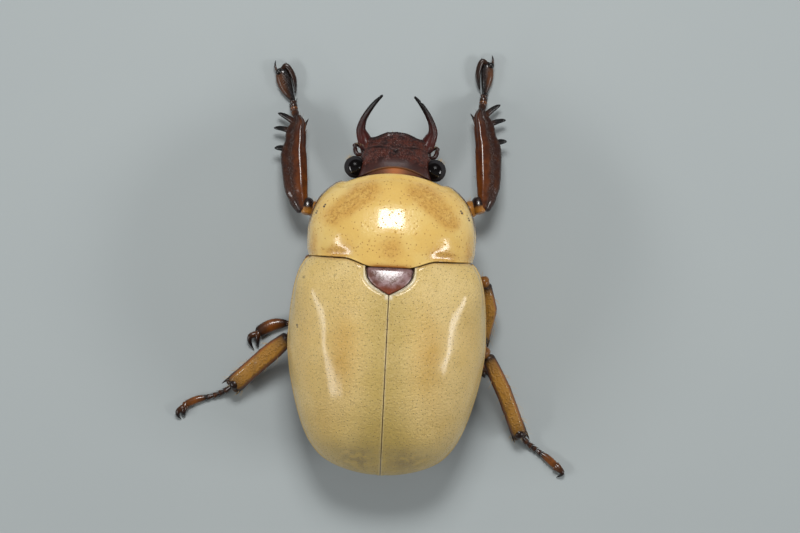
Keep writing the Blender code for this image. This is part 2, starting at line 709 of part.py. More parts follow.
def claws(leg, end, along, out):
    """The two claws at a foot's tip, whose points lie either side of the leg's claw place."""
    tip = np.array((*leg.claw, CLAW_TIP_HEIGHT), float)
    if leg.digging:
        # The thick inner claw folds back beside its joint, and the thin outer one points ahead
        fold = end - out * 0.78 - along * 1.7
        inner = thorn("claw", leg.side, end - out * 0.25, fold, FOLDED_CLAW_THICK, -out * 0.14 + along * 0.1)
        return [inner, thorn("claw", leg.side, end + out * 0.25 - along * 0.2, tip, CLAW_THICK, out * 0.08)]
    made = []
    for spread in (CLAW_SPREAD, -CLAW_SPREAD):
        root = end + out * spread * 0.65 - along * 0.15
        point = tip + (along - out * 0.3) * spread
        made.append(thorn("claw", leg.side, root, point, CLAW_THICK, along * 0.28))
    return made


def tarsus(name, leg):
    """A foot of four short beads and a long claw joint, with two claws, cut flat where it stands."""
    ankle, first, fourth, fifth, end = (np.array(v, float) for v in (leg.ankle, *leg.toes))
    start = ankle + limb_axes(ankle, first)[0] * FOOT_CLEAR
    along, out = limb_axes(fifth, end)
    edges = [start, first, mixed(first, fourth, 0.5), fourth, fifth]
    stations = []
    for near, far in zip(edges, edges[1:]):
        stations += [(*mixed(near, far, share), *size) for share, *size in BEAD]
    stations.append((*fifth, CLAW_JOINT_START, CLAW_JOINT_START))
    broad, tall = leg.claw_joint
    for share, wide, high in CLAW_JOINT:
        place = mixed(fifth, end, share) + out * leg.arch * math.sin(math.pi * share)
        stations.append((*place, broad * wide, tall * high))
    pieces = [sweep(name, leg.side, stations, sides=FINE_SIDES, steps=1), *claws(leg, end, along, out)]
    return sliced(fused(name, pieces), Vector((0, 0, 0)), Vector((0, 0, -1)))


def finish(obj, finish_name, carrier):
    """Gives an object its finish and smooth shading, and stands it with the rest of the animal."""
    material = bpy.data.materials.get(finish_name)
    if material is None:
        colour, roughness, metallic = FINISHES[finish_name]
        material = bpy.data.materials.new(finish_name)
        material.use_nodes = True
        shader = material.node_tree.nodes["Principled BSDF"]
        shader.inputs["Base Color"].default_value = (*colour, 1)
        shader.inputs["Roughness"].default_value = roughness
        shader.inputs["Metallic"].default_value = metallic
    obj.data.materials.clear()
    obj.data.materials.append(material)
    obj.data.shade_smooth()
    obj.data.set_sharp_from_angle(angle=math.radians(SHARP_TURN))
    obj.parent = carrier


def main():
    """Clears the scene, builds the beetle piece by piece and stands it over the origin."""
    for obj in list(bpy.data.objects):
        bpy.data.objects.remove(obj)

    made = {}
    sides = ((1, "left"), (-1, "right"))
    made["pronotum"] = (pronotum(), "pronotum")
    made["scutellum"] = (scutellum(), "scutellum")
    for side, word in sides:
        made[f"elytron_{word}"] = (trimmed(elytron(side), [made["scutellum"][0]]), "wing_case")
    made["thorax"] = (trimmed(thorax(), [made["scutellum"][0]]), "under")
    belly, shield = abdomen_and_pygidium()
    made["abdomen"] = (belly, "under")
    made["pygidium"] = (shield, "under")

    eyes = [ellipsoid(f"eye_{word}", side, EYE_CENTRE, EYE_RADII) for side, word in sides]
    made["head"] = (head(eyes), "head")
    for eye in eyes:
        made[eye.name] = (eye, "eye")
    made["mouthparts"] = (trimmed(mouthparts(), [made["head"][0]]), "feeler")
    for side, word in sides:
        jaw = sweep(f"mandible_{word}", side, JAW, steps=3)
        made[jaw.name] = (trimmed(jaw, [made["head"][0]]), "jaw")
        antenna = feeler(side, f"antenna_{word}")
        neighbours = [made[name][0] for name in ("head", f"eye_{word}", jaw.name, "mouthparts")]
        made[antenna.name] = (trimmed(antenna, neighbours), "feeler")

    trunk = [made[name][0] for name in ("pronotum", "thorax", "abdomen")]
    for name, leg in LEGS.items():
        coxa = ellipsoid(f"{name}_coxa", leg.side, leg.coxa, leg.coxa_radii, segments=12, ring_count=8)
        trimmed(coxa, trunk)
        thigh = trimmed(femur(f"{name}_femur", leg), [*trunk, coxa])
        build_shin = digging_tibia if leg.digging else walking_tibia
        shin = trimmed(build_shin(f"{name}_tibia", leg), [thigh])
        foot = tarsus(f"{name}_tarsus", leg)
        leg_finish = "front_leg" if leg.digging else "tan_leg"
        made[coxa.name] = (coxa, "under")
        made[thigh.name] = (thigh, "tan_leg")
        made[shin.name] = (shin, leg_finish)
        made[foot.name] = (foot, "foot")

    body = bpy.data.collections.new("leaf_chafer")
    bpy.context.scene.collection.children.link(body)
    carrier = bpy.data.objects.new("stance", None)
    carrier.location = (MIDDLE_X, WAIST_Y, 0)
    body.objects.link(carrier)
    for obj, finish_name in made.values():
        bpy.context.scene.collection.objects.unlink(obj)
        body.objects.link(obj)
        finish(obj, finish_name, carrier)


if __name__ == "__main__":
    main()
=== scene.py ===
"""A male leaf chafer with sickle jaws, life size: its visual model, its floor, its lights and its camera.

Places are in the beetle's own frame, in millimetres: out from the middle plane (or lateral, with the
beetle's left positive), ahead of the waist between pronotum and wing cases, and up from the floor.
"""

import logging
import math
from dataclasses import dataclass, field
from enum import Enum
from typing import Any, Callable, Optional, Sequence

import bmesh
import bpy
import numpy as np
from mathutils import Matrix, Quaternion, Vector


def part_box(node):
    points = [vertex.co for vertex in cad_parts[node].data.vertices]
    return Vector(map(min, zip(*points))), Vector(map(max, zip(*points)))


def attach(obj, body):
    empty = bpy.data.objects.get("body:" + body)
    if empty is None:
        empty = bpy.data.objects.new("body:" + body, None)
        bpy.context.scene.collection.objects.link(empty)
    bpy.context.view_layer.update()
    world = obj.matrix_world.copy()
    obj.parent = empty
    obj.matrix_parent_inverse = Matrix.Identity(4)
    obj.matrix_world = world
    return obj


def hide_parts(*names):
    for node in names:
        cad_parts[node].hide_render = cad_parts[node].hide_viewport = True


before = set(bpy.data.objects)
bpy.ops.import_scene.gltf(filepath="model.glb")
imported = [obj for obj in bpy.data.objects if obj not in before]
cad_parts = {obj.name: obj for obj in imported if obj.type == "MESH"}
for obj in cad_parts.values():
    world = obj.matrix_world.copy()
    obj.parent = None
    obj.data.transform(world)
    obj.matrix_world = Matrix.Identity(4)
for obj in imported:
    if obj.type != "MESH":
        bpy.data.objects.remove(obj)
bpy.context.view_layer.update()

LOG = logging.getLogger("leaf_chafer")
MM = 0.001  # a millimetre in metres
MERGE = 1e-8  # metres within which points become one
BAKE_PATCH = 0.003  # the share of the unwrap that one hair takes
FULL_TURN = 2 * math.pi
POLE = 0.02  # radians from a ball's pole to its first ring

Colour = tuple[float, float, float]
Profile = Sequence[tuple[float, float]]
Station = Sequence[float]

# The waist: the pronotum's hind margin, which the wing cases and the scutellum follow
WAIST_LOBE = -0.05
WAIST_LOBE_HALF = 1.2
WAIST_CORNER_HALF = 3.4
WAIST_SIDE = 0.5
WAIST_GAP = 0.025

# The collar: the pronotum's front margin, which the head follows
COLLAR_MIDDLE = 6.74
COLLAR_BOW = 0.057
COLLAR_FLAT = 3.4
COLLAR_SIDE = 6.07


class Side(Enum):
    """A side of the beetle, with the sign of its lateral places."""

    LEFT = 1
    RIGHT = -1

    @property
    def word(self) -> str:
        """The side's name as the solids' names have it."""
        return self.name.lower()


@dataclass(frozen=True)
class Stance:
    """Where the beetle's own frame stands in the world."""

    middle: float
    waist: float

    @classmethod
    def of_solids(cls) -> "Stance":
        """Reads the stance from the pronotum's solid, whose middle is the middle plane."""
        low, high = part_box("pronotum")
        return cls(middle=(low.x + high.x) / 2, waist=high.y + WAIST_LOBE * MM)

    def world(self, points: np.ndarray, side: int = 1) -> np.ndarray:
        """Turns places of the beetle's frame into world places.

        Args:
            points: places as (out, ahead, up) in millimetres, in the last axis.
            side: the sign that turns out into lateral.

        Returns:
            The same places in metres in the world.
        """
        out, ahead, up = np.moveaxis(np.asarray(points, float), -1, 0)
        return np.stack((self.middle + side * out * MM, self.waist - ahead * MM, up * MM), axis=-1)


STANCE = Stance.of_solids()


def curve(table: Profile, place: Any) -> np.ndarray:
    """Values of a smooth curve through (place, value) pairs, without overshoot between them.

    Args:
        table: the pairs, in order of place.
        place: where the curve is read, a number or an array.

    Returns:
        The curve's values, in the shape of place.
    """
    places, values = (np.array(column, float) for column in zip(*table))
    slopes = np.diff(values) / np.diff(places)
    tangents = np.concatenate(([slopes[0]], np.zeros(len(slopes) - 1), [slopes[-1]]))
    same_way = slopes[:-1] * slopes[1:] > 0
    joint = slopes[:-1] + slopes[1:]
    tangents[1:-1] = np.where(same_way, 2 * slopes[:-1] * slopes[1:] / np.where(same_way, joint, 1), 0)
    place = np.asarray(place, float)
    i = np.clip(np.searchsorted(places, place) - 1, 0, len(slopes) - 1)
    span = places[i + 1] - places[i]
    t = np.clip((place - places[i]) / span, 0, 1)
    return (
        values[i] * (1 + 2 * t) * (1 - t) ** 2
        + values[i + 1] * t * t * (3 - 2 * t)
        + span * tangents[i] * t * (1 - t) ** 2
        - span * tangents[i + 1] * t * t * (1 - t)
    )


def mixed(a: Any, b: Any, share: Any) -> Any:
    """The value that lies share of the way from a to b."""
    return a + (b - a) * share


def stepped(value: Any, start: float, end: float) -> np.ndarray:
    """A smooth step of value from 0 at start to 1 at end; end may be the smaller one."""
    t = np.clip((np.asarray(value, float) - start) / (end - start), 0, 1)
    return t * t * (3 - 2 * t)


def bell(distance: Any, reach: float) -> np.ndarray:
    """A round bump of height 1 that fades over reach."""
    return np.exp(-((np.asarray(distance, float) / reach) ** 2))


def mounds(table: Sequence[Station], across: Any, ahead: Any) -> Any:
    """Sums round bumps over a surface.

    Args:
        table: rows of (across, ahead, half-width, half-length, height).
        across: how far across each point lies.
        ahead: how far ahead it lies.

    Returns:
        The height at each point.
    """
    return sum(
        height * bell(np.hypot((across - place) / wide, (ahead - forward) / long), 1.0)
        for place, forward, wide, long, height in table
    )


def blot(across: Any, ahead: Any, reach: float) -> np.ndarray:
    """A round bump of height 1 where both distances are 0, that fades over reach."""
    return bell(np.hypot(across, ahead), reach)


def ring_turns(count: int) -> np.ndarray:
    """Angles round a ring in radians, as a row."""
    return np.linspace(0, FULL_TURN, count, endpoint=False)[None, :]


def ball_falls(count: int) -> np.ndarray:
    """Angles from a ball's top down to its foot in radians, as a column."""
    return np.linspace(POLE, math.pi - POLE, count)[:, None]


def crowded(count: int) -> np.ndarray:
    """Shares from 0 to 1 that lie closer together towards both ends."""
    return (1 - np.cos(np.linspace(0, math.pi, count))) / 2


def waist_line(out: Any) -> np.ndarray:
    """How far ahead of the waist the pronotum's hind margin lies."""
    return mixed(WAIST_LOBE, WAIST_SIDE, stepped(np.abs(out), WAIST_LOBE_HALF, WAIST_CORNER_HALF))


def collar_line(out: Any) -> np.ndarray:
    """How far ahead of the waist the pronotum's front margin lies."""
    return COLLAR_MIDDLE - COLLAR_BOW * np.minimum(np.abs(out), COLLAR_FLAT) ** 2


def raised(points: np.ndarray, height: Any, centre: np.ndarray, around: bool) -> np.ndarray:
    """Moves the points of a grid along its surface's normals.

    Args:
        points: the grid, rows by columns by (out, ahead, up).
        height: how far each point moves outwards.
        centre: a place, or one for each point, that outwards points away from.
        around: whether the columns close on themselves.

    Returns:
        The moved grid.
    """
    if around:
        wide = np.concatenate((points[:, -1:], points, points[:, :1]), axis=1)
        across = (wide[:, 2:] - wide[:, :-2]) / 2
    else:
        across = np.gradient(points, axis=1)
    normal = np.cross(np.gradient(points, axis=0), across)
    normal /= np.maximum(np.linalg.norm(normal, axis=-1, keepdims=True), 1e-9)
    outward = np.sign(np.sum(normal * (points - centre), axis=-1, keepdims=True))
    return points + normal * outward * np.asarray(height)[..., None]


def midline(points: np.ndarray, up: float) -> np.ndarray:
    """The place in the middle plane at one height beside each point."""
    return points * (0, 1, 0) + (0, 0, up)


def dome_ring(
    half: np.ndarray,
    crown: np.ndarray,
    margin: np.ndarray,
    under: np.ndarray,
    turns: np.ndarray,
    roundness: tuple[float, float],
) -> tuple[np.ndarray, np.ndarray]:
    """Closed cross-sections: a dome over the side margin and a keel under it.

    Args:
        half: half-width of each section, as a column.
        crown: height of each section's top, as a column.
        margin: height of its widest place, as a column.
        under: height of its underside, as a column.
        turns: angles round the section from the top, in radians, as a row.
        roundness: superellipse exponents of the dome and the keel.

    Returns:
        The sections' lateral places and heights, rows by columns.
    """
    above = np.cos(turns) >= 0
    power = 2 / np.where(above, roundness[0], roundness[1])
    side, rise = np.sin(turns), np.cos(turns)
    reach = np.where(above, crown - margin, margin - under)
    out = half * np.sign(side) * np.abs(side) ** power
    return out, margin + reach * np.sign(rise) * np.abs(rise) ** power


class Skin:
    """A mesh in the making: grids of places with named traits at each point."""

    def __init__(self, name: str, side: Side = Side.LEFT) -> None:
        """Starts an empty skin whose out places lie on one side."""
        self.name = name
        self.side = side
        self.points: list[np.ndarray] = []
        self.faces: list[tuple[int, ...]] = []
        self.traits: list[dict[str, np.ndarray]] = []
        self.count = 0

    def add(
        self, points: np.ndarray, around: bool = True, caps: tuple[bool, bool] = (True, True), **traits: Any
    ) -> "Skin":
        """Adds a grid of quads, with a fan over each end that is capped.

        Args:
            points: the grid, rows by columns by (out, ahead, up).
            around: whether the last column joins the first.
            caps: whether the first and the last row are closed.
            **traits: numbers for every point, each a single value or a grid.

        Returns:
            The skin itself.
        """
        rows, columns = points.shape[:2]
        index = np.arange(rows * columns).reshape(rows, columns) + self.count
        here = index if around else index[:, :-1]
        beside = np.roll(index, -1, axis=1) if around else index[:, 1:]
        quads = np.stack((here[:-1], beside[:-1], beside[1:], here[1:]), axis=-1)
        self.faces += [tuple(quad) for quad in quads.reshape(-1, 4).tolist()]
        flat = points.reshape(-1, 3)
        worn = {key: np.broadcast_to(value, (rows, columns)).reshape(-1) for key, value in traits.items()}
        extra = self.count + rows * columns
        for wanted, row in zip(caps, (0, -1)):
            if wanted:
                ring = index[row]
                flat = np.vstack((flat, points[row].mean(axis=0)))
                worn = {key: np.append(value, value[ring - self.count].mean()) for key, value in worn.items()}
                self.faces += [(int(a), int(b), extra) for a, b in zip(ring, np.roll(ring, -1))]
                extra += 1
        self.points.append(flat)
        self.traits.append(worn)
        self.count += len(flat)
        return self

    def build(self, wall: float = 0.0) -> bpy.types.Object:
        """Makes the object, with merged doubles, outward faces and a float attribute for each trait.

        Args:
            wall: thickness in millimetres that an open skin is given inwards, or 0.

        Returns:
            The object, which sits at the origin.
        """
        mesh = bpy.data.meshes.new(self.name)
        mesh.from_pydata(STANCE.world(np.vstack(self.points), self.side.value).tolist(), [], self.faces)
        for key in sorted({key for worn in self.traits for key in worn}):
            values = [worn.get(key, np.zeros(len(part))) for worn, part in zip(self.traits, self.points)]
            attribute = mesh.attributes.new(key, "FLOAT", "POINT")
            attribute.data.foreach_set("value", np.concatenate(values).astype(np.float32))
        work = bmesh.new()
        work.from_mesh(mesh)
        bmesh.ops.remove_doubles(work, verts=work.verts, dist=MERGE)
        bmesh.ops.dissolve_degenerate(work, edges=work.edges, dist=MERGE)
        bmesh.ops.recalc_face_normals(work, faces=work.faces)
        if wall and sum(face.normal.z * face.calc_area() for face in work.faces) < 0:
            bmesh.ops.reverse_faces(work, faces=work.faces)
        work.to_mesh(mesh)
        work.free()
        mesh.shade_smooth()
        made = bpy.data.objects.new(self.name, mesh)
        bpy.context.scene.collection.objects.link(made)
        if wall:
            shell = made.modifiers.new("wall", "SOLIDIFY")
            shell.thickness = wall * MM
            shell.offset = -1
            bake_modifiers(made)
        return made


def bake_modifiers(piece: bpy.types.Object) -> None:
    """Applies an object's modifiers to its mesh and removes them."""
    bpy.context.view_layer.update()
    graph = bpy.context.evaluated_depsgraph_get()
    mesh = bpy.data.meshes.new_from_object(piece.evaluated_get(graph))
    piece.modifiers.clear()
    piece.data = mesh


def smooth_path(stations: Sequence[Station], steps: int) -> np.ndarray:
    """Points of a Catmull-Rom curve through stations.

    Args:
        stations: tuples of numbers, all of one length.
        steps: how many points each span gets.

    Returns:
        The curve's points, one row each.
    """
    knots = np.array(stations, float)
    padded = np.vstack((2 * knots[0] - knots[1], knots, 2 * knots[-1] - knots[-2]))
    path = []
    for i in range(1, len(padded) - 2):
        a, b, c, d = padded[i - 1 : i + 3]
        for t in np.arange(steps) / steps:
            bend = (2 * a - 5 * b + 4 * c - d) * t**2 + (3 * b - a - 3 * c + d) * t**3
            path.append(b + ((c - a) * t + bend) / 2)
    path.append(knots[-1])
    return np.array(path)


def limb_axes(start: np.ndarray, stop: np.ndarray) -> tuple[np.ndarray, np.ndarray]:
    """Unit vectors along a limb, and level across it, which for a limb that points ahead is outwards."""
    along = (stop - start) / np.linalg.norm(stop - start)
    across = np.array((along[1], -along[0], 0.0))
    return along, across / np.linalg.norm(across)


@dataclass
class Limb:
    """A rod swept through stations of (out, ahead, up, width, height, shade, warm)."""

    stations: Sequence[Station]
    sides: int = 28
    steps: int = 8
    rounded: tuple[float, float] = (0.6, 0.6)
    relief: Optional[Callable[[np.ndarray, np.ndarray], np.ndarray]] = None
    hair: Optional[Callable[[np.ndarray, np.ndarray], np.ndarray]] = None
    paint: Optional[Callable[[np.ndarray, np.ndarray], dict[str, np.ndarray]]] = None
    tilt: float = 0.0

    CAP_TURNS = (22.0, 45.0, 66.0, 82.0)
    THINNEST = 0.004

    def grid(self) -> tuple[np.ndarray, np.ndarray, np.ndarray]:
        """Sweeps the rod.

        Returns:
            The grid of places, the path's rows that its rings stand on, and the turn of each column.
        """
        path = smooth_path([(*row, *(0.0,) * (7 - len(row))) for row in self.stations], self.steps)
        places = path[:, :3]
        heading = np.gradient(places, axis=0)
        heading /= np.linalg.norm(heading, axis=1, keepdims=True)
        turns = ring_turns(self.sides)[0]
        rings, rows = [], []
        across = np.array((heading[0][1], -heading[0][0], 0.0))
        for place, along, row in zip(places, heading, path):
            across = across - along * across.dot(along)
            across = across / np.linalg.norm(across)
            rise = np.cross(across, along)
            width, height = np.maximum(row[3:5], self.THINNEST) / 2
            lift = height * np.sin(turns) - self.tilt * width * np.cos(turns)
            spokes = across * width * np.cos(turns)[:, None] + rise * lift[:, None]
            rings.append(place + spokes)
            rows.append(row)
        for end, way in ((0, -1), (-1, 1)):
            reach = self.rounded[end] * min(path[end][3:5]) / 2
            if reach <= 0:
                continue
            centre, edge, nose = places[end], rings[end], way * heading[end] * reach
            caps = [
                centre + (edge - centre) * math.cos(turn) + nose * math.sin(turn)
                for turn in map(math.radians, self.CAP_TURNS)
            ]
            ends = [path[end]] * len(caps)
            rings = caps[::-1] + rings if end == 0 else rings + caps
            rows = ends + rows if end == 0 else rows + ends
        return np.array(rings), np.array(rows), turns

    def add_to(self, skin: Skin) -> Skin:
        """Adds the swept rod to a skin, with its shade, warmth, hair and unwrap."""
        points, rows, turns = self.grid()
        share = np.linspace(0, 1, len(points))[:, None]
        spread = np.broadcast_to(turns, points.shape[:2])
        if self.relief:
            points = raised(points, self.relief(share, spread), rows[:, None, :3], True)
        points[..., 2] = np.maximum(points[..., 2], 0)
        painted = self.paint(share, spread) if self.paint else {}
        return skin.add(
            points,
            shade=np.clip(rows[:, 5:6] + painted.get("shade", 0.0), 0, 1),
            warm=np.clip(rows[:, 6:7] + painted.get("warm", 0.0), 0, 1),
            dull=np.clip(painted.get("dull", 0.0), 0, 1),
            hair=self.hair(share, spread) if self.hair else 0.0,
            unwrap_u=spread / FULL_TURN,
            unwrap_v=share,
        )


def tapered(
    start: np.ndarray, stop: np.ndarray, size: tuple[float, float], sizes: Sequence[Station], bow: Any = 0.0
) -> list[Station]:
    """Stations of a limb between two places.

    Args:
        start: where its shares start.
        stop: where they end.
        size: its width and height.
        sizes: rows of a share of the way, shares of the width and height, shade and warm.
        bow: how far its middle is pushed aside.

    Returns:
        The stations that a Limb takes.
    """
    rows = []
    for share, wide, high, *tone in sizes:
        place = mixed(start, stop, share) + bow * math.sin(math.pi * share)
        rows.append((*place, size[0] * wide, size[1] * high, *tone))
    return rows


def ball(
    skin: Skin, centre: Station, radii: Station, rings: int = 24, sides: int = 40, **traits: Any
) -> Skin:
    """Adds an ellipsoid to a skin.

    Args:
        skin: the skin that gets it.
        centre: its middle as (out, ahead, up).
        radii: its radii in the same directions.
        rings: how many rings of points it has.
        sides: how many points a ring has.
        **traits: numbers for every point, each a single value or a grid.

    Returns:
        The skin itself.
    """
    fall, turn = ball_falls(rings), ring_turns(sides)
    level = np.sin(fall)
    unit = np.stack(np.broadcast_arrays(level * np.cos(turn), level * np.sin(turn), np.cos(fall)), axis=-1)
    points = np.array(centre) + unit * np.array(radii)
    return skin.add(points, unwrap_u=turn / FULL_TURN, unwrap_v=fall / math.pi, **traits)


def operators(operation: str) -> tuple[Callable[..., "Value"], Callable[..., "Value"]]:
    """The two Python operators that add a Math node: with a value first, and with a value last."""

    def add_node(first: Any, second: Any, value: "Value") -> "Value":
        """Adds the node to the tree of a value."""
        return value.nodes.node("ShaderNodeMath", {"operation": operation}, {0: first, 1: second})

    return (
        lambda value, other: add_node(value, other, value),
        lambda value, other: add_node(other, value, value),
    )


class Value:
    """One output of a node tree, on which Python's operators add Math nodes."""

    def __init__(self, nodes: "Nodes", socket: bpy.types.NodeSocket) -> None:
        """Wraps a socket of a tree."""
        self.nodes = nodes
        self.socket = socket

    def beside(self, output: Any) -> "Value":
        """Another output of the same node, by name or number."""
        return Value(self.nodes, self.socket.node.outputs[output])

    __add__, __radd__ = operators("ADD")
    __sub__, __rsub__ = operators("SUBTRACT")
    __mul__, __rmul__ = operators("MULTIPLY")
    __truediv__, __rtruediv__ = operators("DIVIDE")
    __pow__, __rpow__ = operators("POWER")

    def step(self, start: float, end: float) -> "Value":
        """A smooth step from 0 where the value is start to 1 where it is end."""
        low, high, first, last = (start, end, 0.0, 1.0) if start < end else (end, start, 1.0, 0.0)
        sockets = {"Value": self, "From Min": low, "From Max": high, "To Min": first, "To Max": last}
        return self.nodes.node("ShaderNodeMapRange", {"interpolation_type": "SMOOTHSTEP"}, sockets)


class Nodes:
    """A node tree in the making."""

    def __init__(self, tree: bpy.types.NodeTree) -> None:
        """Wraps a tree."""
        self.tree = tree

    def node(self, kind: str, settings: dict[str, Any], sockets: dict[Any, Any], output: Any = 0) -> Value:
        """Adds a node.

        Args:
            kind: the node's type.
            settings: its properties, set first.
            sockets: its inputs by name or number, each a number, a tuple or a Value.
            output: the name or number of the output that is wanted.

        Returns:
            That output.
        """
        made = self.tree.nodes.new(kind)
        for key, setting in settings.items():
            setattr(made, key, setting)
        self.feed(made, sockets)
        return Value(self, made.outputs[output])

    def feed(self, made: bpy.types.Node, sockets: dict[Any, Any]) -> None:
        """Sets or links a node's inputs."""
        for key, term in sockets.items():
            if isinstance(term, Value):
                self.tree.links.new(term.socket, made.inputs[key])
            else:
                made.inputs[key].default_value = term


class Graph(Nodes):
    """A material's node tree, with a few methods for the patterns in use."""

    def __init__(self, name: str) -> None:
        """Makes the material with an empty Principled shader."""
        self.material = bpy.data.materials.new(name)
        self.material.use_nodes = True
        super().__init__(self.material.node_tree)
        self.shader = self.tree.nodes["Principled BSDF"]
        self._place: Optional[Value] = None

    def place(self) -> Value:
        """The point in the beetle's frame: lateral, ahead and up, in millimetres."""
        if self._place is None:
            sockets = {
                "Vector": self.node("ShaderNodeTexCoord", {}, {}, "Object"),
                "Location": (-STANCE.middle / MM, STANCE.waist / MM, 0.0),
                "Scale": (1 / MM, -1 / MM, 1 / MM),
            }
            self._place = self.node("ShaderNodeMapping", {}, sockets)
        return self._place

    def axes(self) -> tuple[Value, Value, Value]:
        """The lateral, ahead and up numbers of the point."""
        split = self.node("ShaderNodeSeparateXYZ", {}, {0: self.place()})
        return split, split.beside(1), split.beside(2)

    def trait(self, name: str) -> Value:
        """A number that the mesh carries at each point."""
        return self.node("ShaderNodeAttribute", {"attribute_name": name}, {}, "Fac")

    def flat_place(self, first: Value, second: Value) -> Value:
        """A vector of two numbers, for patterns that follow a surface."""
        return self.node("ShaderNodeCombineXYZ", {}, {0: first, 1: second})

    def noise(self, size: float, detail: float = 3.0, rough: float = 0.5) -> Value:
        """Cloudy noise about 0.5 whose blotches are size millimetres across."""
        sockets = {"Vector": self.place(), "Scale": 1 / size, "Detail": detail, "Roughness": rough}
        return self.node("ShaderNodeTexNoise", {}, sockets)

    def cells(self, size: float, random: float = 1.0, where: Optional[Value] = None) -> Value:
        """Distance to the nearest of scattered points, in shares of their spacing of size millimetres."""
        settings = {"voronoi_dimensions": "2D" if where else "3D"}
        sockets = {"Vector": where or self.place(), "Scale": 1 / size, "Randomness": random}
        return self.node("ShaderNodeTexVoronoi", settings, sockets, "Distance")

    def blend(self, base: Any, other: Any, share: Any) -> Value:
        """Mixes two colours."""
        made = self.node("ShaderNodeMix", {"data_type": "RGBA"}, {"Factor": share}, "Result").socket.node
        colours = [socket for socket in made.inputs if socket.type == "RGBA"]
        for socket, colour in zip(colours, (base, other)):
            if isinstance(colour, Value):
                self.tree.links.new(colour.socket, socket)
            else:
                socket.default_value = (*colour, 1.0)
        return Value(self, next(socket for socket in made.outputs if socket.type == "RGBA"))

    def layers(self, base: Any, *others: tuple[Any, Any]) -> Value:
        """Lays colours over a base, each given with its share."""
        for colour, share in others:
            base = self.blend(base, colour, share)
        return base

    def spot(self, lateral: float, ahead: float, inner: float, outer: float) -> Value:
        """A round mask about a place seen from above, full within inner and gone beyond outer."""
        side, front, _ = self.axes()
        distance = ((side - lateral) ** 2.0 + (front - ahead) ** 2.0) ** 0.5
        return distance.step(outer, inner)

    def finish(
        self,
        colour: Value,
        roughness: Any,
        height: Optional[Value] = None,
        coat: Any = 0.0,
        coat_roughness: float = 0.1,
        specular: float = 0.5,
    ) -> bpy.types.Material:
        """Feeds the shader.

        Args:
            colour: the surface's colour.
            roughness: a number or a value.
            height: relief in millimetres, or none.
            coat: the clear coat's weight, a number or a value.
            coat_roughness: the coat's roughness.
            specular: the shader's specular level.

        Returns:
            The finished material.
        """
        self.feed(self.shader, {"Base Color": colour, "Roughness": roughness, "Coat Weight": coat})
        self.feed(self.shader, {"Coat Roughness": coat_roughness, "Specular IOR Level": specular})
        if height is not None:
            bump = self.node("ShaderNodeBump", {}, {"Height": height, "Distance": MM, "Strength": 1.0})
            self.feed(self.shader, {"Normal": bump})
        return self.material


@dataclass(frozen=True)
class ElytronFinish:
    """Straw-yellow wing-case cuticle with rows of fine dark pits, a haze and a brown edge, with painted shade
    along the seams and towards the tip, and a pale rim that is partly a painted highlight.
    """

    straw: Colour = (0.8, 0.57, 0.195)
    pale: Colour = (0.92, 0.7, 0.31)
    haze: Colour = (0.68, 0.4, 0.08)
    # The cuticle's own olive tone near the suture; towards the tip the same colour is painted shade where the
    # wing cases turn down away from the lights.
    olive: Colour = (0.54, 0.385, 0.095)
    # Grey blots near the tip: partly the cuticle's own tone and partly painted shade where the tip turns away
    # from the lights.
    smudge: Colour = (0.29, 0.21, 0.09)
    edge: Colour = (0.34, 0.14, 0.035)
    # The seam colour paints shade into the gaps: along the suture, beside the scutellum and where the wing
    # cases meet the pronotum; the small dark marks use it too.
    seam: Colour = (0.05, 0.022, 0.008)
    pit: Colour = (0.16, 0.09, 0.035)
    sand: Colour = (0.5, 0.32, 0.1)
    # The pale raised rim beside the scutellum, made near white partly as a painted highlight on it.
    rim: Colour = (0.98, 0.86, 0.6)
    marks: tuple[tuple[float, float, float, float], ...] = (
        (6.47, -4.48, 0.1, 0.9), (6.44, -4.62, 0.08, 0.8), (6.14, -1.03, 0.14, 0.45), (3.9, -0.75, 0.12, 0.3),
    )
    pit_spacing: float = 0.38
    pit_size: float = 0.1
    roughness: float = 0.27
    coat: float = 0.55
    coat_roughness: float = 0.165

    def material(self) -> bpy.types.Material:
        """Builds the node tree."""
        g = Graph("wing_case")
        grain = g.noise(0.085, 3.0, 0.65)
        dots = g.cells(self.pit_spacing, 0.85, g.flat_place(g.trait("run"), g.trait("reach")))
        present = g.noise(0.9, 1.0).step(0.32, 0.46)
        deep = dots.step(self.pit_size, self.pit_size * 0.55) * present
        marks = ((self.seam, g.spot(*place, size * 0.4, size) * share) for *place, size, share in self.marks)
        colour = g.layers(
            self.straw,
            (self.pale, g.noise(2.6).step(0.38, 0.66) * 0.55),
            # Olive tone near the suture, and painted shade darkening towards the tip.
            (self.olive, g.trait("olive") * 0.85),
            (self.haze, g.trait("haze") * (g.noise(1.6, 2.0) * 0.9 + 0.4)),
            # Grey blots near the tip, partly the cuticle's tone and partly painted shade.
            (self.smudge, g.trait("smudge") * g.noise(0.5, 4.0).step(0.35, 0.62)),
            (self.sand, grain.step(0.46, 0.68) * (g.noise(1.2).step(0.3, 0.7) * 0.4 + 0.34)),
            (self.pit, deep * 0.85),
            *marks,
            # A pale rim that is partly a painted highlight, the brown edge, and painted shade along the
            # seams.
            (self.rim, g.trait("rim")),
            (self.edge, g.trait("edge")),
            (self.seam, g.trait("seam")),
        )
        wrinkle = g.noise(0.2, 4.0, 0.7) * 0.08 + g.cells(0.17).step(0.7, 0.0) * 0.022
        height = wrinkle + g.noise(0.8, 2.0) * 0.04 - dots.step(self.pit_size * 1.6, 0.0) * present * 0.03
        rough = self.roughness + grain * 0.12 + deep * 0.25
        return g.finish(colour, rough, height, self.coat * (1 - deep), self.coat_roughness)


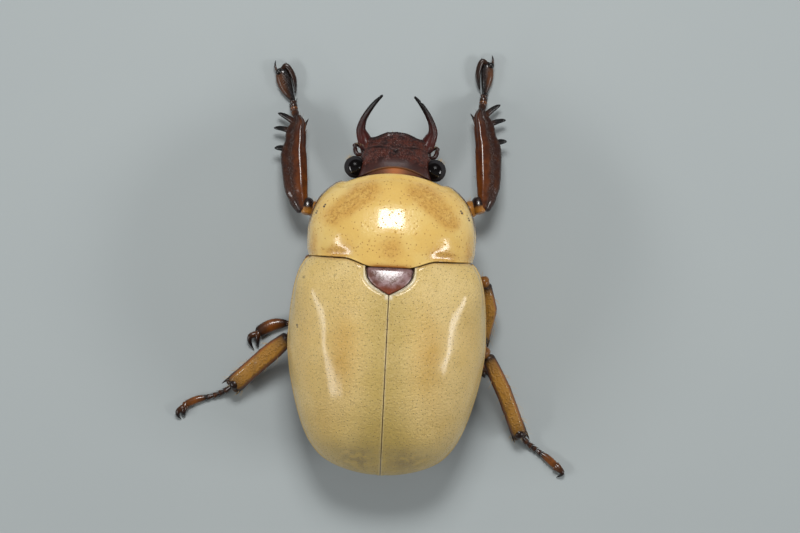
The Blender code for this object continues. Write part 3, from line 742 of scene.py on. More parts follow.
@dataclass(frozen=True)
class PronotumFinish:
    """Glossy warm yellow shield cuticle with tan clouds, fine stipple, and a thin brown rim."""

    yellow: Colour = (0.86, 0.56, 0.155)
    pale: Colour = (0.93, 0.69, 0.25)
    cloud: Colour = (0.42, 0.19, 0.04)
    tan: Colour = (0.74, 0.42, 0.1)
    rim: Colour = (0.1, 0.035, 0.01)
    rear: Colour = (0.36, 0.13, 0.02)
    under: Colour = (0.3, 0.13, 0.035)
    dot: Colour = (0.05, 0.022, 0.012)
    marks: tuple[tuple[float, float, float, float], ...] = (
        (4.95, 4.1, 0.09, 1.0), (4.87, 4.24, 0.08, 0.9), (5.5, 3.62, 0.08, 0.9), (5.44, 3.76, 0.07, 0.8),
        (5.33, 3.98, 0.06, 0.4), (5.65, 3.5, 0.06, 0.35),
    )
    pore_spacing: float = 0.27
    roughness: float = 0.2
    coat: float = 0.85
    coat_roughness: float = 0.13
    specular: float = 0.25

    def material(self) -> bpy.types.Material:
        """Builds the node tree."""
        g = Graph("pronotum")
        cloud = g.trait("cloud")
        stipple = g.noise(0.2, 5.0, 0.75).step(0.42, 0.64)
        pores = g.cells(self.pore_spacing)
        marks = (
            (self.dot, g.spot(sign * lateral, ahead, size * 0.5, size * 1.2) * share)
            for lateral, ahead, size, share in self.marks
            for sign in (1, -1)
        )
        colour = g.layers(
            self.yellow,
            (self.pale, g.noise(2.2).step(0.4, 0.68) * 0.6),
            (self.tan, cloud.step(0.05, 0.7) * (g.noise(0.9, 4.0).step(0.2, 0.65) * 0.6 + 0.3)),
            (self.cloud, cloud.step(0.1, 1.0) * stipple * 0.65),
            (self.tan, g.noise(0.11, 2.0).step(0.55, 0.75) * 0.28),
            (self.cloud, pores.step(0.26, 0.14) * 0.65),
            *marks,
            (self.under, g.trait("under")),
            (self.rear, g.trait("rear")),
            (self.rim, g.trait("rim")),
        )
        hollow = pores.step(0.3, 0.18)
        height = g.noise(0.2) * 0.03 + g.noise(1.2, 2.0) * 0.06 - pores.step(0.32, 0.08) * 0.02
        rough = self.roughness + g.noise(0.3) * 0.1 + hollow * 0.5
        return g.finish(colour, rough, height, self.coat * (1 - hollow), self.coat_roughness, self.specular)


@dataclass(frozen=True)
class ScutellumFinish:
    """Mahogany shield cuticle with a faint violet bloom, partly a painted sheen, and an orange-red tip."""

    mahogany: Colour = (0.14, 0.045, 0.025)
    # A violet tone that is partly the cuticle's bloom and partly a painted sheen.
    bloom_and_sheen: Colour = (0.34, 0.2, 0.2)
    tip: Colour = (0.28, 0.05, 0.008)
    rim: Colour = (0.04, 0.01, 0.005)
    roughness: float = 0.26
    coat_roughness: float = 0.22
    specular: float = 0.8

    def material(self) -> bpy.types.Material:
        """Builds the node tree."""
        g = Graph("scutellum")
        warm = g.trait("warm")
        colour = g.layers(
            self.mahogany,
            # Violet patches, partly a painted sheen.
            (self.bloom_and_sheen, g.noise(0.5).step(0.35, 0.65) * (1 - warm)),
            (self.tip, warm * 0.9),
            (self.rim, g.trait("shade")),
        )
        pores = g.cells(0.16)
        height = g.noise(0.2) * 0.022 - pores.step(0.35, 0.1) * 0.012
        rough = self.roughness + g.noise(0.3) * 0.12
        coat = 1.0 - 0.6 * pores.step(0.2, 0.1)
        return g.finish(colour, rough, height, coat, self.coat_roughness, self.specular)


@dataclass(frozen=True)
class HeadFinish:
    """Dark red-brown head cuticle: smooth behind, coarse granules before the suture, an orange neck; painted
    glints on the granules and painted shade in their hollows, the suture and the centre pit.
    """

    brown: Colour = (0.04, 0.015, 0.013)
    ruddy: Colour = (0.12, 0.026, 0.014)
    # Colour of the painted highlights: small glints on the granules.
    painted_glint: Colour = (0.5, 0.3, 0.25)
    # The groove colour is painted shade in hollows: between the granules, in the suture's groove and in the
    # centre pit; it also darkens the front edge and the underside.
    groove: Colour = (0.006, 0.003, 0.003)
    neck: Colour = (0.45, 0.13, 0.015)
    nape: Colour = (0.11, 0.035, 0.012)
    lip: Colour = (0.34, 0.17, 0.08)
    grain: float = 0.14
    roughness: float = 0.3
    coat_roughness: float = 0.12
    specular: float = 0.3

    def material(self) -> bpy.types.Material:
        """Builds the node tree."""
        g = Graph("head")
        rugged, shade = g.trait("rugged"), g.trait("shade")
        bumps = g.cells(self.grain, 0.9)
        # Painted highlights: small pale glints laid into the colour at scattered granule tips.
        painted_glint_spots = g.cells(0.27).step(0.16, 0.06) * g.noise(0.5, 2.0).step(0.42, 0.6)
        colour = g.layers(
            self.brown,
            (self.ruddy, g.noise(0.5).step(0.35, 0.65) * (rugged * 0.5 + 0.2)),
            (self.ruddy, bumps.step(0.55, 0.1) * rugged * 0.8),
            # Painted shade between the granules.
            (self.groove, bumps.step(0.5, 0.85) * rugged * 0.5),
            (self.painted_glint, painted_glint_spots * rugged * (1 - shade) * 0.8),
            # Painted shade in the suture's groove and the centre pit, and the darker front edge and
            # underside.
            (self.groove, shade),
            (g.blend(self.nape, self.neck, g.trait("glow")), g.trait("warm")),
            (self.lip, g.trait("lip")),
        )
        granules = bumps.step(0.75, 0.0) * (g.noise(0.4, 2.0).step(0.35, 0.65) * 0.035 + 0.015)
        height = granules * rugged + g.noise(0.12) * 0.012
        rough = self.roughness + (1 - rugged) * 0.15 + shade * 0.6
        coat = rugged * (1 - shade) * (bumps.step(0.5, 0.2) * 0.7 + 0.1)
        return g.finish(colour, rough, height, coat, self.coat_roughness, self.specular)


@dataclass(frozen=True)
class EyeFinish:
    """A glossy black compound eye of fine facets, with a dull grey ring round it that is a painted
    reflection.
    """

    black: Colour = (0.004, 0.003, 0.003)
    # The ring colour is a painted reflection: the grey that the eye's outer part shows by reflecting its
    # surroundings.
    ring: Colour = (0.026, 0.024, 0.026)
    facet: float = 0.05
    roughness: float = 0.1
    coat: float = 0.8
    coat_roughness: float = 0.05
    specular: float = 0.12

    def material(self) -> bpy.types.Material:
        """Builds the node tree."""
        g = Graph("eye")
        # The shade trait here marks the ring of painted reflection.
        ring, dim = g.trait("shade"), g.trait("dim")
        colour = g.blend(self.black, self.ring, ring)
        rough = self.roughness + ring * 0.35 + dim * 0.1
        coat = (1 - ring) * (1 - dim) * self.coat
        return g.finish(
            colour, rough, g.cells(self.facet, 0.25) * -0.003, coat, self.coat_roughness, self.specular
        )


@dataclass(frozen=True)
class ChitinFinish:
    """Limb and belly cuticle in a base colour, a dark one where a mesh is shaded and a warm one."""

    name: str
    base: Colour
    dark: Colour
    warm: Colour
    roughness: float = 0.3
    coat: float = 0.4
    pits: float = 0.0
    pit_spacing: float = 0.3
    pit_shade: float = 0.5
    grain: float = 0.012
    dull: Colour = (0.03, 0.013, 0.008)
    specular: float = 0.45

    def material(self) -> bpy.types.Material:
        """Builds the node tree."""
        g = Graph(self.name)
        mottle, dull = g.noise(0.45, 4.0), g.trait("dull")
        colour = g.layers(
            self.base,
            (self.warm, mottle.step(0.45, 0.7) * 0.3),
            (self.warm, g.trait("warm")),
            (self.dark, mottle.step(0.52, 0.3) * 0.3),
            (self.dull, dull),
        )
        spots = g.cells(0.16)
        height = g.noise(0.12, 3.0, 0.6) * (dull * 0.02 + self.grain) + spots.step(0.65, 0.0) * dull * 0.06
        if self.pits:
            pores = g.cells(self.pit_spacing)
            colour = g.blend(colour, self.dark, pores.step(0.3, 0.12) * self.pit_shade)
            height = height - pores.step(0.42, 0.05) * self.pits
        colour = g.blend(colour, self.dark, g.trait("shade") * (mottle * 0.4 + 0.8))
        rough = self.roughness + g.noise(0.25) * 0.12 + dull * 0.12
        coat = (1 - dull) * self.coat + dull * spots.step(0.55, 0.25)
        return g.finish(colour, rough, height, coat, specular=self.specular)


@dataclass(frozen=True)
class HairFinish:
    """Bristles in one colour with a little variation from hair to hair."""

    name: str
    colour: Colour
    pale: Colour
    roughness: float = 0.45

    def material(self) -> bpy.types.Material:
        """Builds the node tree."""
        g = Graph(self.name)
        colour = g.blend(self.colour, self.pale, g.noise(0.12, 1.0).step(0.35, 0.65))
        return g.finish(colour, self.roughness + g.noise(0.2) * 0.1)


@dataclass(frozen=True)
class FloorFinish:
    """A plain pale matt floor."""

    pale: Colour = (0.45, 0.49, 0.49)
    other: Colour = (0.43, 0.47, 0.475)

    specular: float = 0.3

    def material(self) -> bpy.types.Material:
        """Builds the node tree."""
        g = Graph("floor")
        colour = g.blend(self.pale, self.other, g.noise(14.0, 2.0))
        return g.finish(colour, 0.75 + g.noise(6.0) * 0.1, specular=self.specular)


class Finish(Enum):
    """The finishes that pieces choose from."""

    WING_CASE = ElytronFinish()
    PRONOTUM = PronotumFinish()
    SCUTELLUM = ScutellumFinish()
    HEAD = HeadFinish()
    EYE = EyeFinish()
    JAW = ChitinFinish(
        "jaw", (0.029, 0.008, 0.0065), (0.004, 0.003, 0.003), (0.09, 0.011, 0.007), 0.36, 0.08, specular=0.22
    )
    FEELER = ChitinFinish(
        "feeler", (0.04, 0.009, 0.006), (0.01, 0.004, 0.003), (0.17, 0.04, 0.012), 0.32, 0.15
    )
    UNDER = ChitinFinish(
        "under", (0.25, 0.115, 0.036), (0.07, 0.025, 0.01), (0.4, 0.2, 0.07), 0.32, 0.35,
        pits=0.012, pit_spacing=0.34,
    )
    FRONT_LEG = ChitinFinish(
        "front_leg", (0.062, 0.013, 0.005), (0.004, 0.003, 0.003), (0.25, 0.07, 0.01), 0.24, 0.6,
        pits=0.008, pit_spacing=0.24, pit_shade=0.4, dull=(0.05, 0.02, 0.011), specular=0.25,
    )
    FEMUR = ChitinFinish("femur", (0.16, 0.05, 0.01), (0.016, 0.006, 0.004), (0.46, 0.19, 0.025), 0.22, 0.5)
    TAN_LEG = ChitinFinish(
        "tan_leg", (0.38, 0.165, 0.024), (0.014, 0.005, 0.003), (0.33, 0.1, 0.012), 0.3, 0.3,
        pits=0.006, pit_spacing=0.2, pit_shade=0.25, dull=(0.42, 0.205, 0.03), specular=0.3,
    )
    FOOT = ChitinFinish(
        "foot", (0.032, 0.01, 0.005), (0.005, 0.003, 0.003), (0.33, 0.1, 0.012), 0.24, 0.5, specular=0.3
    )
    PALE_HAIR = HairFinish("pale_hair", (0.5, 0.33, 0.13), (0.68, 0.5, 0.27))
    DARK_HAIR = HairFinish("dark_hair", (0.1, 0.035, 0.012), (0.24, 0.1, 0.03))
    FLOOR = FloorFinish()


class Wardrobe:
    """Makes each material once, and dresses pieces."""

    def __init__(self) -> None:
        """Starts with no materials made."""
        self.made: dict[Finish, bpy.types.Material] = {}

    def material(self, finish: Finish) -> bpy.types.Material:
        """The material of a finish."""
        if finish not in self.made:
            self.made[finish] = finish.value.material()
        return self.made[finish]

    def dress(self, piece: bpy.types.Object, finish: Finish, slot: str, *nodes: str) -> bpy.types.Object:
        """Gives a piece its material and has it ride the beetle.

        Args:
            piece: the finished object.
            finish: which finish it wears.
            slot: the record's material slot that the finish answers to; it is not used.
            *nodes: the solids that the piece stands for.

        Returns:
            The piece.
        """
        piece.data.materials.clear()
        piece.data.materials.append(self.material(finish))
        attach(piece, "root")
        if nodes:
            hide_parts(*nodes)
        LOG.info("%s: %d faces, for %s", piece.name, len(piece.data.polygons), ", ".join(nodes) or "itself")
        return piece


@dataclass
class Bristles:
    """Hairs that grow where a skin's hair trait is above nothing, made by Geometry Nodes."""

    name: str
    per_square_mm: float
    length: float
    thickness: float = 0.03
    lie: tuple[float, float, float] = (0.0, 0.0, 0.0)
    finish: Finish = Finish.PALE_HAIR
    seed: int = 7
    curl: float = 0.25

    SIDES = 4
    SEGMENTS = 3
    TIP = 0.06
    JITTER = 0.25
    LENGTHS = (0.55, 1.15)

    def tree(self, material: bpy.types.Material) -> bpy.types.NodeTree:
        """Builds the tree that scatters, turns and scales the hairs.

        Args:
            material: what the hairs wear.

        Returns:
            The tree, whose inputs are the skin's Geometry, Density, Length, Thickness, Curl, Lie and Seed.
        """
        tree = bpy.data.node_groups.new(self.name, "GeometryNodeTree")
        kinds = {"Geometry": "Geometry", "Lie": "Vector", "Seed": "Int"}
        for word in ("Geometry", "Density", "Length", "Thickness", "Curl", "Lie", "Seed"):
            kind = f"NodeSocket{kinds.get(word, 'Float')}"
            tree.interface.new_socket(word, in_out="INPUT", socket_type=kind)
        tree.interface.new_socket("Geometry", in_out="OUTPUT", socket_type="NodeSocketGeometry")
        n = Nodes(tree)
        group = tree.nodes.new("NodeGroupInput")
        given = {socket.name: Value(n, socket) for socket in group.outputs}
        seed, thickness = given["Seed"], given["Thickness"]
        kind = "GeometryNodeInputNamedAttribute"
        hair = n.node(kind, {"data_type": "FLOAT"}, {"Name": "hair"}, "Attribute")
        points = n.node(
            "GeometryNodeDistributePointsOnFaces",
            {"distribute_method": "RANDOM"},
            {"Mesh": given["Geometry"], "Density": hair * given["Density"], "Seed": seed},
            "Points",
        )
        jitter = n.node(
            "FunctionNodeRandomValue",
            {"data_type": "FLOAT_VECTOR"},
            {0: (-self.JITTER,) * 3, 1: (self.JITTER,) * 3, "Seed": seed},
        )
        lean = points.beside("Normal")
        for push in (given["Lie"], jitter):
            lean = n.node("ShaderNodeVectorMath", {"operation": "ADD"}, {0: lean, 1: push})
        turn = n.node("FunctionNodeAlignRotationToVector", {"axis": "Z"}, {"Vector": lean})
        cone = n.node("GeometryNodeMeshCone", {"fill_type": "NONE"}, {
            "Vertices": self.SIDES, "Side Segments": self.SEGMENTS,
            "Radius Top": self.TIP, "Radius Bottom": 0.5, "Depth": 1.0,
        })
        where = n.node("GeometryNodeInputPosition", {}, {})
        height = n.node("ShaderNodeSeparateXYZ", {}, {0: where}, 2)
        bend = height * height * given["Curl"] * (given["Length"] / thickness)
        offset = n.node("ShaderNodeCombineXYZ", {}, {0: bend})
        curled = n.node("GeometryNodeSetPosition", {}, {"Geometry": cone, "Offset": offset})
        shortest, longest = self.LENGTHS
        limits = {2: shortest, 3: longest, "Seed": seed}
        spread = n.node("FunctionNodeRandomValue", {"data_type": "FLOAT"}, limits, 1)
        long = given["Length"] * spread
        scale = n.node("ShaderNodeCombineXYZ", {}, {0: thickness, 1: thickness, 2: long})
        sockets = {"Points": points, "Instance": curled, "Rotation": turn, "Scale": scale}
        hairs = n.node("GeometryNodeInstanceOnPoints", {}, sockets)
        whole = n.node("GeometryNodeRealizeInstances", {}, {"Geometry": hairs})
        worn = n.node("GeometryNodeSetMaterial", {}, {"Geometry": whole, "Material": material})
        n.feed(tree.nodes.new("NodeGroupOutput"), {"Geometry": worn})
        return tree

    def grow(self, skin: bpy.types.Object, wardrobe: Wardrobe, slot: str) -> Optional[bpy.types.Object]:
        """Grows the hairs on a skin as a plain mesh of their own.

        Args:
            skin: the object they grow on, which is left as it is.
            wardrobe: what dresses them.
            slot: the record's material slot of the skin.

        Returns:
            The hairs, or nothing where none grew.
        """
        host = skin.copy()
        host.data = skin.data.copy()
        host.parent = None
        bpy.context.scene.collection.objects.link(host)
        growth = host.modifiers.new("growth", "NODES")
        growth.node_group = self.tree(wardrobe.material(self.finish))
        wanted = {
            "Density": self.per_square_mm / MM**2,
            "Length": self.length * MM,
            "Thickness": self.thickness * MM,
            "Curl": self.curl,
            "Lie": self.lie,
            "Seed": self.seed,
        }
        for item in growth.node_group.interface.items_tree:
            if item.in_out == "INPUT" and item.name in wanted:
                growth[item.identifier] = wanted[item.name]
        bake_modifiers(host)
        mesh = host.data
        for key in [key for key in host.keys() if key.startswith("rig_")]:
            del host[key]
        if not mesh.polygons:
            bpy.data.objects.remove(host)
            return None
        host.name = mesh.name = self.name
        self.unwrap(mesh)
        return wardrobe.dress(host, self.finish, slot)

    def unwrap(self, mesh: bpy.types.Mesh) -> None:
        """Gives each hair a small patch at its root's place on the skin's unwrap, in a map for baking."""
        count = len(mesh.vertices)
        roots = []
        for key in ("unwrap_u", "unwrap_v"):
            held = np.zeros(count, np.float32)
            attribute = mesh.attributes.get(key)
            if attribute:
                attribute.data.foreach_get("value", held)
            roots.append(held)
        corner = np.zeros(len(mesh.loops), np.int32)
        mesh.loops.foreach_get("vertex_index", corner)
        rise = corner // self.SIDES % (self.SEGMENTS + 1) / self.SEGMENTS
        local = np.stack((corner % self.SIDES / self.SIDES, rise))
        places = np.stack(roots)[:, corner] * (1 - BAKE_PATCH) + BAKE_PATCH * local
        chart = mesh.uv_layers.new(name="OFBake")
        chart.data.foreach_set("uv", places.T.astype(np.float32).ravel())


@dataclass
class WingCases:
    """The two elytra: domed shells that meet along the suture behind the scutellum."""

    apex: float = -15.1
    half_width: Profile = (
        (0, 5.85), (3, 6.45), (9, 6.87), (16, 7.06), (23, 7.12), (30, 6.95),
        (44, 6.25), (56, 5.42), (65, 4.5), (73, 3.35), (82, 1.65), (90, 0.0),
    )
    crown: Profile = (
        (0, 9.75), (12, 10.15), (24, 10.15), (37, 9.6), (52.5, 8.3), (67, 6.5), (78, 5.4), (90, 4.5),
    )
    margin: Profile = ((0, 5.6), (9, 4.9), (23, 4.3), (44, 4.15), (70, 4.2), (90, 4.3))
    roundness: float = 2.25
    seam_half: float = 0.008
    wall: float = 0.32
    columns: int = 104
    hem: tuple[float, ...] = (0.0025, 0.006, 0.01, 0.0145, 0.019)
    ribs: tuple[float, ...] = (0.2, 0.42, 0.62, 0.79)
    scutellum_clearance: float = 0.05
    under_side: float = 3.0
    curl: tuple[float, ...] = (18.0, 38.0, 58.0, 80.0)
    curl_size: float = 0.3
    shoulder: tuple[Station, ...] = ((5.8, -1.5, 1.3, 1.95, 0.38),)
    rear_hump: tuple[Station, ...] = ((3.3, -12.6, 1.1, 1.1, 0.14),)
    hazes: tuple[Station, ...] = (
        (3.1, -6.3, 1.05, 2.73, 1.0), (5.9, -5.5, 1.0, 3.4, 0.45), (4.4, -11.0, 1.2, 2.4, 0.3),
    )

    def turns(self) -> np.ndarray:
        """The rows' turns in degrees, closer together behind the scutellum and at the tip."""
        front = np.linspace(0, 10, 44, endpoint=False)
        middle = np.linspace(10, 80, 90, endpoint=False)
        return np.concatenate((front, middle, np.linspace(80, 89.6, 26)))

    def inner_edge(self, ahead: np.ndarray) -> np.ndarray:
        """How far out the inner edge lies: beside the scutellum, then along the suture."""
        half = Scutellum().half_width_at(ahead)
        return np.maximum(self.seam_half, np.where(half > 0, half + self.scutellum_clearance, 0))

    def build(self, side: Side, wardrobe: Wardrobe) -> None:
        """Makes and dresses one wing case.

        Args:
            side: which of the two.
            wardrobe: what dresses it.
        """
        turn = self.turns()[:, None]
        share = np.sin(np.radians(turn))
        half, crown, margin = (curve(table, turn) for table in (self.half_width, self.crown, self.margin))
        edge = np.full_like(half, self.seam_half)
        for _ in range(4):
            edge = self.inner_edge(mixed(waist_line(edge) - WAIST_GAP, self.apex, share))
        edge = np.minimum(edge, half * 0.9)
        power = 2 / self.roundness
        sweep = np.sin(np.linspace(0, math.pi / 2, self.columns)) ** power
        sweep = np.sort(np.concatenate((sweep, self.hem)))[None, :]
        out = edge + (half - edge) * sweep
        t = np.clip((out - self.seam_half) / np.maximum(half - self.seam_half, 1e-6), 0, 1)
        up = margin + (crown - margin) * np.maximum(1 - t ** (2 / power), 0) ** (power / 2)
        ahead = mixed(waist_line(out) - WAIST_GAP, self.apex, share)
        points = np.stack((out, ahead, up), axis=-1)
        steps = np.linalg.norm(np.diff(points, axis=1), axis=-1)
        run = np.concatenate((np.zeros((len(points), 1)), np.cumsum(steps, axis=1)), axis=1)
        left = run[:, -1:] - run
        strides = np.linalg.norm(np.diff(points[:, 4], axis=0), axis=-1)
        reach = np.concatenate(([0.0], np.cumsum(strides)))[:, None] + np.zeros_like(out)
        inner = out - edge
        beside_shield = stepped(ahead, -2.45, -2.15) * stepped(out, 1.95, 1.75)
        fade = stepped(ahead, -0.6, -2.0) * stepped(ahead, -14.6, -12.0)
        height = mounds(self.rear_hump, out, ahead)
        height += mounds(self.shoulder, out, ahead) * stepped(t, 0.995, 0.93)
        height += mixed(0.03, 0.1, beside_shield) * bell(inner - 0.11, 0.09) - 0.02 * bell(inner - 0.34, 0.12)
        height += sum(0.01 * bell(t - rib, 0.045) * fade for rib in self.ribs) - 0.015 * bell(inner, 0.015)
        height += 0.08 * bell(left - 0.1, 0.12) * stepped(ahead, -15.0, -13.5)
        height -= 0.06 * bell(left - 0.42, 0.16)
        height -= 0.06 * bell(reach, 0.06) * stepped(out, 0.6, 1.8) * stepped(out, 5.6, 5.0)
        height += 0.05 * bell(reach - 0.3, 0.18) * stepped(out, 1.6, 2.4)
        points = raised(points, height, midline(points, self.under_side), False)
        curl = np.radians(self.curl)
        turned = np.repeat(points[:, -1:], len(curl), axis=1)
        size = np.minimum(self.curl_size, half * 0.4)
        turned[..., 0] -= size * (1 - np.cos(curl))
        turned[..., 2] -= size * np.sin(curl)
        points = np.concatenate((points, turned), axis=1)
        middle = stepped(out, 2.7, 0.3) * 0.75 * stepped(ahead, 0.5, -2.5)
        # Painted shade: a dark line in the gap along the suture and at the front edge under the pronotum.
        seam = np.maximum(0.95 * stepped(inner, 0.03, 0.012), 0.7 * bell(reach, 0.03))
        traits = {
            "run": run,
            "reach": reach,
            "haze": np.clip(mounds(self.hazes, out, ahead), 0, 1),
            # Olive near the suture, and darker towards the tip as painted shade.
            "olive": np.clip(middle + stepped(ahead, -9.0, -14.5) * 0.7, 0, 1),
            # Blots near the tip, partly painted shade.
            "smudge": 0.75 * blot(out - 1.7, (ahead + 13.9) * 1.5, 1.3),
            # A pale rim beside the scutellum and a faint one along the suture, brightened partly as a painted
            # highlight.
            "rim": bell(inner - 0.15, 0.12) * beside_shield + 0.22 * bell(inner - 0.07, 0.03),
            "edge": np.maximum(bell(left, 0.14), 0.4 * bell(reach, 0.16) * stepped(out, 1.5, 2.2)),
            # Painted shade along the seams, and beside the scutellum.
            "seam": np.maximum(seam, 0.5 * bell(inner, 0.03) * beside_shield),
        }
        over_edge = [*range(out.shape[1]), *[-1] * len(curl)]
        worn = {key: value[:, over_edge] for key, value in traits.items()}
        skin = Skin(f"wing_case_{side.word}", side).add(points, around=False, caps=(False, False), **worn)
        wardrobe.dress(skin.build(self.wall), Finish.WING_CASE, "wing_case", f"elytron_{side.word}")


@dataclass
class Scutellum:
    """The small shield between the bases of the wing cases."""

    half: float = 1.7
    length: float = 1.95
    power: float = 2.8
    top: float = 9.97
    thick: float = 0.6

    def front(self) -> float:
        """Where its front edge lies, ahead of the waist."""
        return WAIST_LOBE - WAIST_GAP

    def half_width_at(self, ahead: np.ndarray) -> np.ndarray:
        """Its half-width at places ahead of the waist, and 0 behind its tip."""
        share = np.clip((self.front() - np.asarray(ahead)) / self.length, 0, 1)
        return self.half * (1 - share**self.power)

    def build(self, wardrobe: Wardrobe) -> None:
        """Makes and dresses the shield."""
        share = np.concatenate((np.linspace(0, 0.9, 40), np.linspace(0.915, 0.997, 14)))[:, None]
        turns = ring_turns(72)
        half = self.half_width_at(self.front() - self.length * share)
        side = np.sign(np.sin(turns)) * np.abs(np.sin(turns)) ** 0.6
        rise = np.sign(np.cos(turns)) * np.abs(np.cos(turns)) ** 0.6
        dome = 0.12 * (1 - side**2) - 0.1 * share**2 - 0.33 * np.clip(1 - share / 0.7, 0, 1) ** 1.3
        middle = self.top - self.thick / 2
        up = middle + rise * self.thick / 2 + np.where(rise > 0, dome, 0) - 0.08 * bell(share, 0.06)
        ahead = self.front() - self.length * share
        rim = np.maximum(bell(1 - np.abs(side), 0.06) * (rise < 0.9), stepped(share, 0.95, 1.0) * 0.6)
        skin = Skin("scutellum_shield").add(
            np.stack(np.broadcast_arrays(half * side, ahead, up), axis=-1),
            warm=stepped(share + 0.12 * side**2, 0.55, 0.95),
            shade=np.clip(rim + 0.6 * bell(share, 0.05), 0, 1),
        )
        wardrobe.dress(skin.build(), Finish.SCUTELLUM, "scutellum", "scutellum")


@dataclass
class Pronotum:
    """The prothorax: its broad shield above and the chest between the front legs below."""

    half_width: Profile = (
        (0.5, 5.85), (1.2, 6.03), (2.3, 6.06), (3.4, 5.92),
        (4.6, 5.47), (5.45, 4.76), (5.82, 4.27), (6.07, 3.72),
    )
    crown: Profile = ((0.5, 9.75), (2.2, 9.8), (3.8, 9.35), (5.2, 8.45), (6.07, 7.45))
    margin: Profile = ((0.5, 5.2), (3.3, 4.9), (6.07, 5.3))
    under: Profile = ((0.5, 2.6), (3.3, 2.5), (6.07, 3.6))
    edge_radius: float = 0.1
    rows: int = 90
    columns: int = 224
    core_height: float = 5.5
    dents: tuple[Station, ...] = (
        (3.9, 0.82, 1.0, 0.4, -0.15), (4.55, 4.35, 0.9, 0.9, -0.04),
        (1.6, 1.3, 1.1, 1.1, 0.03), (0.0, 1.6, 0.35, 1.3, -0.03),
    )
    clouds: tuple[Station, ...] = (
        (4.3, 3.4, 0.7, 0.7, 0.45), (1.7, 5.3, 0.75 / 0.7, 0.75, 0.55), (0.0, 1.3, 1.0, 0.75 / 0.8, 0.75),
        (4.1, 0.75, 0.6, 0.42, 1.0), (3.3, 1.1, 0.7 / 0.8, 0.7, 0.6), (5.6, 1.3, 0.35, 1.0, 0.6),
    )

    def build(self, wardrobe: Wardrobe) -> None:
        """Makes and dresses the shield with the hairs along its sides."""
        share = crowded(self.rows)[:, None]
        place = mixed(WAIST_SIDE, COLLAR_SIDE, share)
        turns = ring_turns(self.columns)
        sizes = (curve(table, place) for table in (self.half_width, self.crown, self.margin, self.under))
        out, up = dome_ring(*sizes, turns, (2.2, 1.7))
        ahead = mixed(waist_line(out), collar_line(out), share)
        points = np.stack((out, ahead, up), axis=-1)
        rear, front = ahead - waist_line(out), collar_line(out) - ahead
        aside = np.abs(out)
        degrees = np.degrees(np.abs(np.where(turns > math.pi, turns - FULL_TURN, turns)))
        above = stepped(degrees, 96, 88)
        height = mounds(self.dents, aside, ahead) * above
        for edge in (rear, front):
            inside = np.clip(1 - edge / self.edge_radius, 0, 1)
            height -= self.edge_radius * (1 - np.sqrt(1 - np.minimum(inside**2, 0.9999)))
        height += above * (0.015 * bell(front - 0.2, 0.1) - 0.015 * bell(front - 0.4, 0.12))
        height += above * 0.035 * bell(rear - 0.1, 0.05) * stepped(aside, 1.4, 2.6)
        height += 0.03 * bell(degrees - 88, 2.4) - 0.02 * bell(degrees - 82, 3.0)
        points = raised(points, height, midline(points, self.core_height), True)
        slant_along = (aside - 3.0) * 0.74 - (ahead - 4.5) * 0.67
        slant_across = (aside - 3.0) * 0.67 + (ahead - 4.5) * 0.74
        clouds = mounds(self.clouds, aside, ahead) + 1.25 * bell(slant_along, 1.7) * bell(slant_across, 0.72)
        rim = np.maximum(bell(front, 0.07) * stepped(aside, 1.2, 3.2), bell(rear, 0.035) * 0.7)
        rim = np.maximum(rim, bell(degrees - 91, 2.2) * 0.95)
        flank = stepped(degrees, 78.5, 82) * stepped(degrees, 94, 91)
        warm_rear = bell(rear, 0.16) * stepped(aside, 1.7, 0.9)
        warm_rear += 0.35 * bell(rear, 0.3) * stepped(aside, 2.6, 0.6)
        fringe = bell(degrees - 97, 3.0) * (place > 0.7) * (place < 5.9)
        chest = stepped(degrees, 105, 130) * stepped(share, 0.06, 0.12) * stepped(share, 0.97, 0.9)
        skin = Skin("pronotum_shield").add(
            points,
            cloud=np.clip(clouds, 0, 1),
            under=stepped(degrees, 91, 97),
            rim=np.clip(np.maximum(rim, 0.9 * flank * stepped(ahead, 2.4, 3.4)), 0, 1),
            rear=np.clip(warm_rear, 0, 1),
            hair=fringe + 0.35 * chest,
            unwrap_u=turns / FULL_TURN,
            unwrap_v=share,
        )
        shield = wardrobe.dress(skin.build(), Finish.PRONOTUM, "pronotum", "pronotum")
        Bristles("pronotum_hairs", 7.0, 0.3, 0.018, (0.0, 0.3, -0.4)).grow(shield, wardrobe, "pronotum")


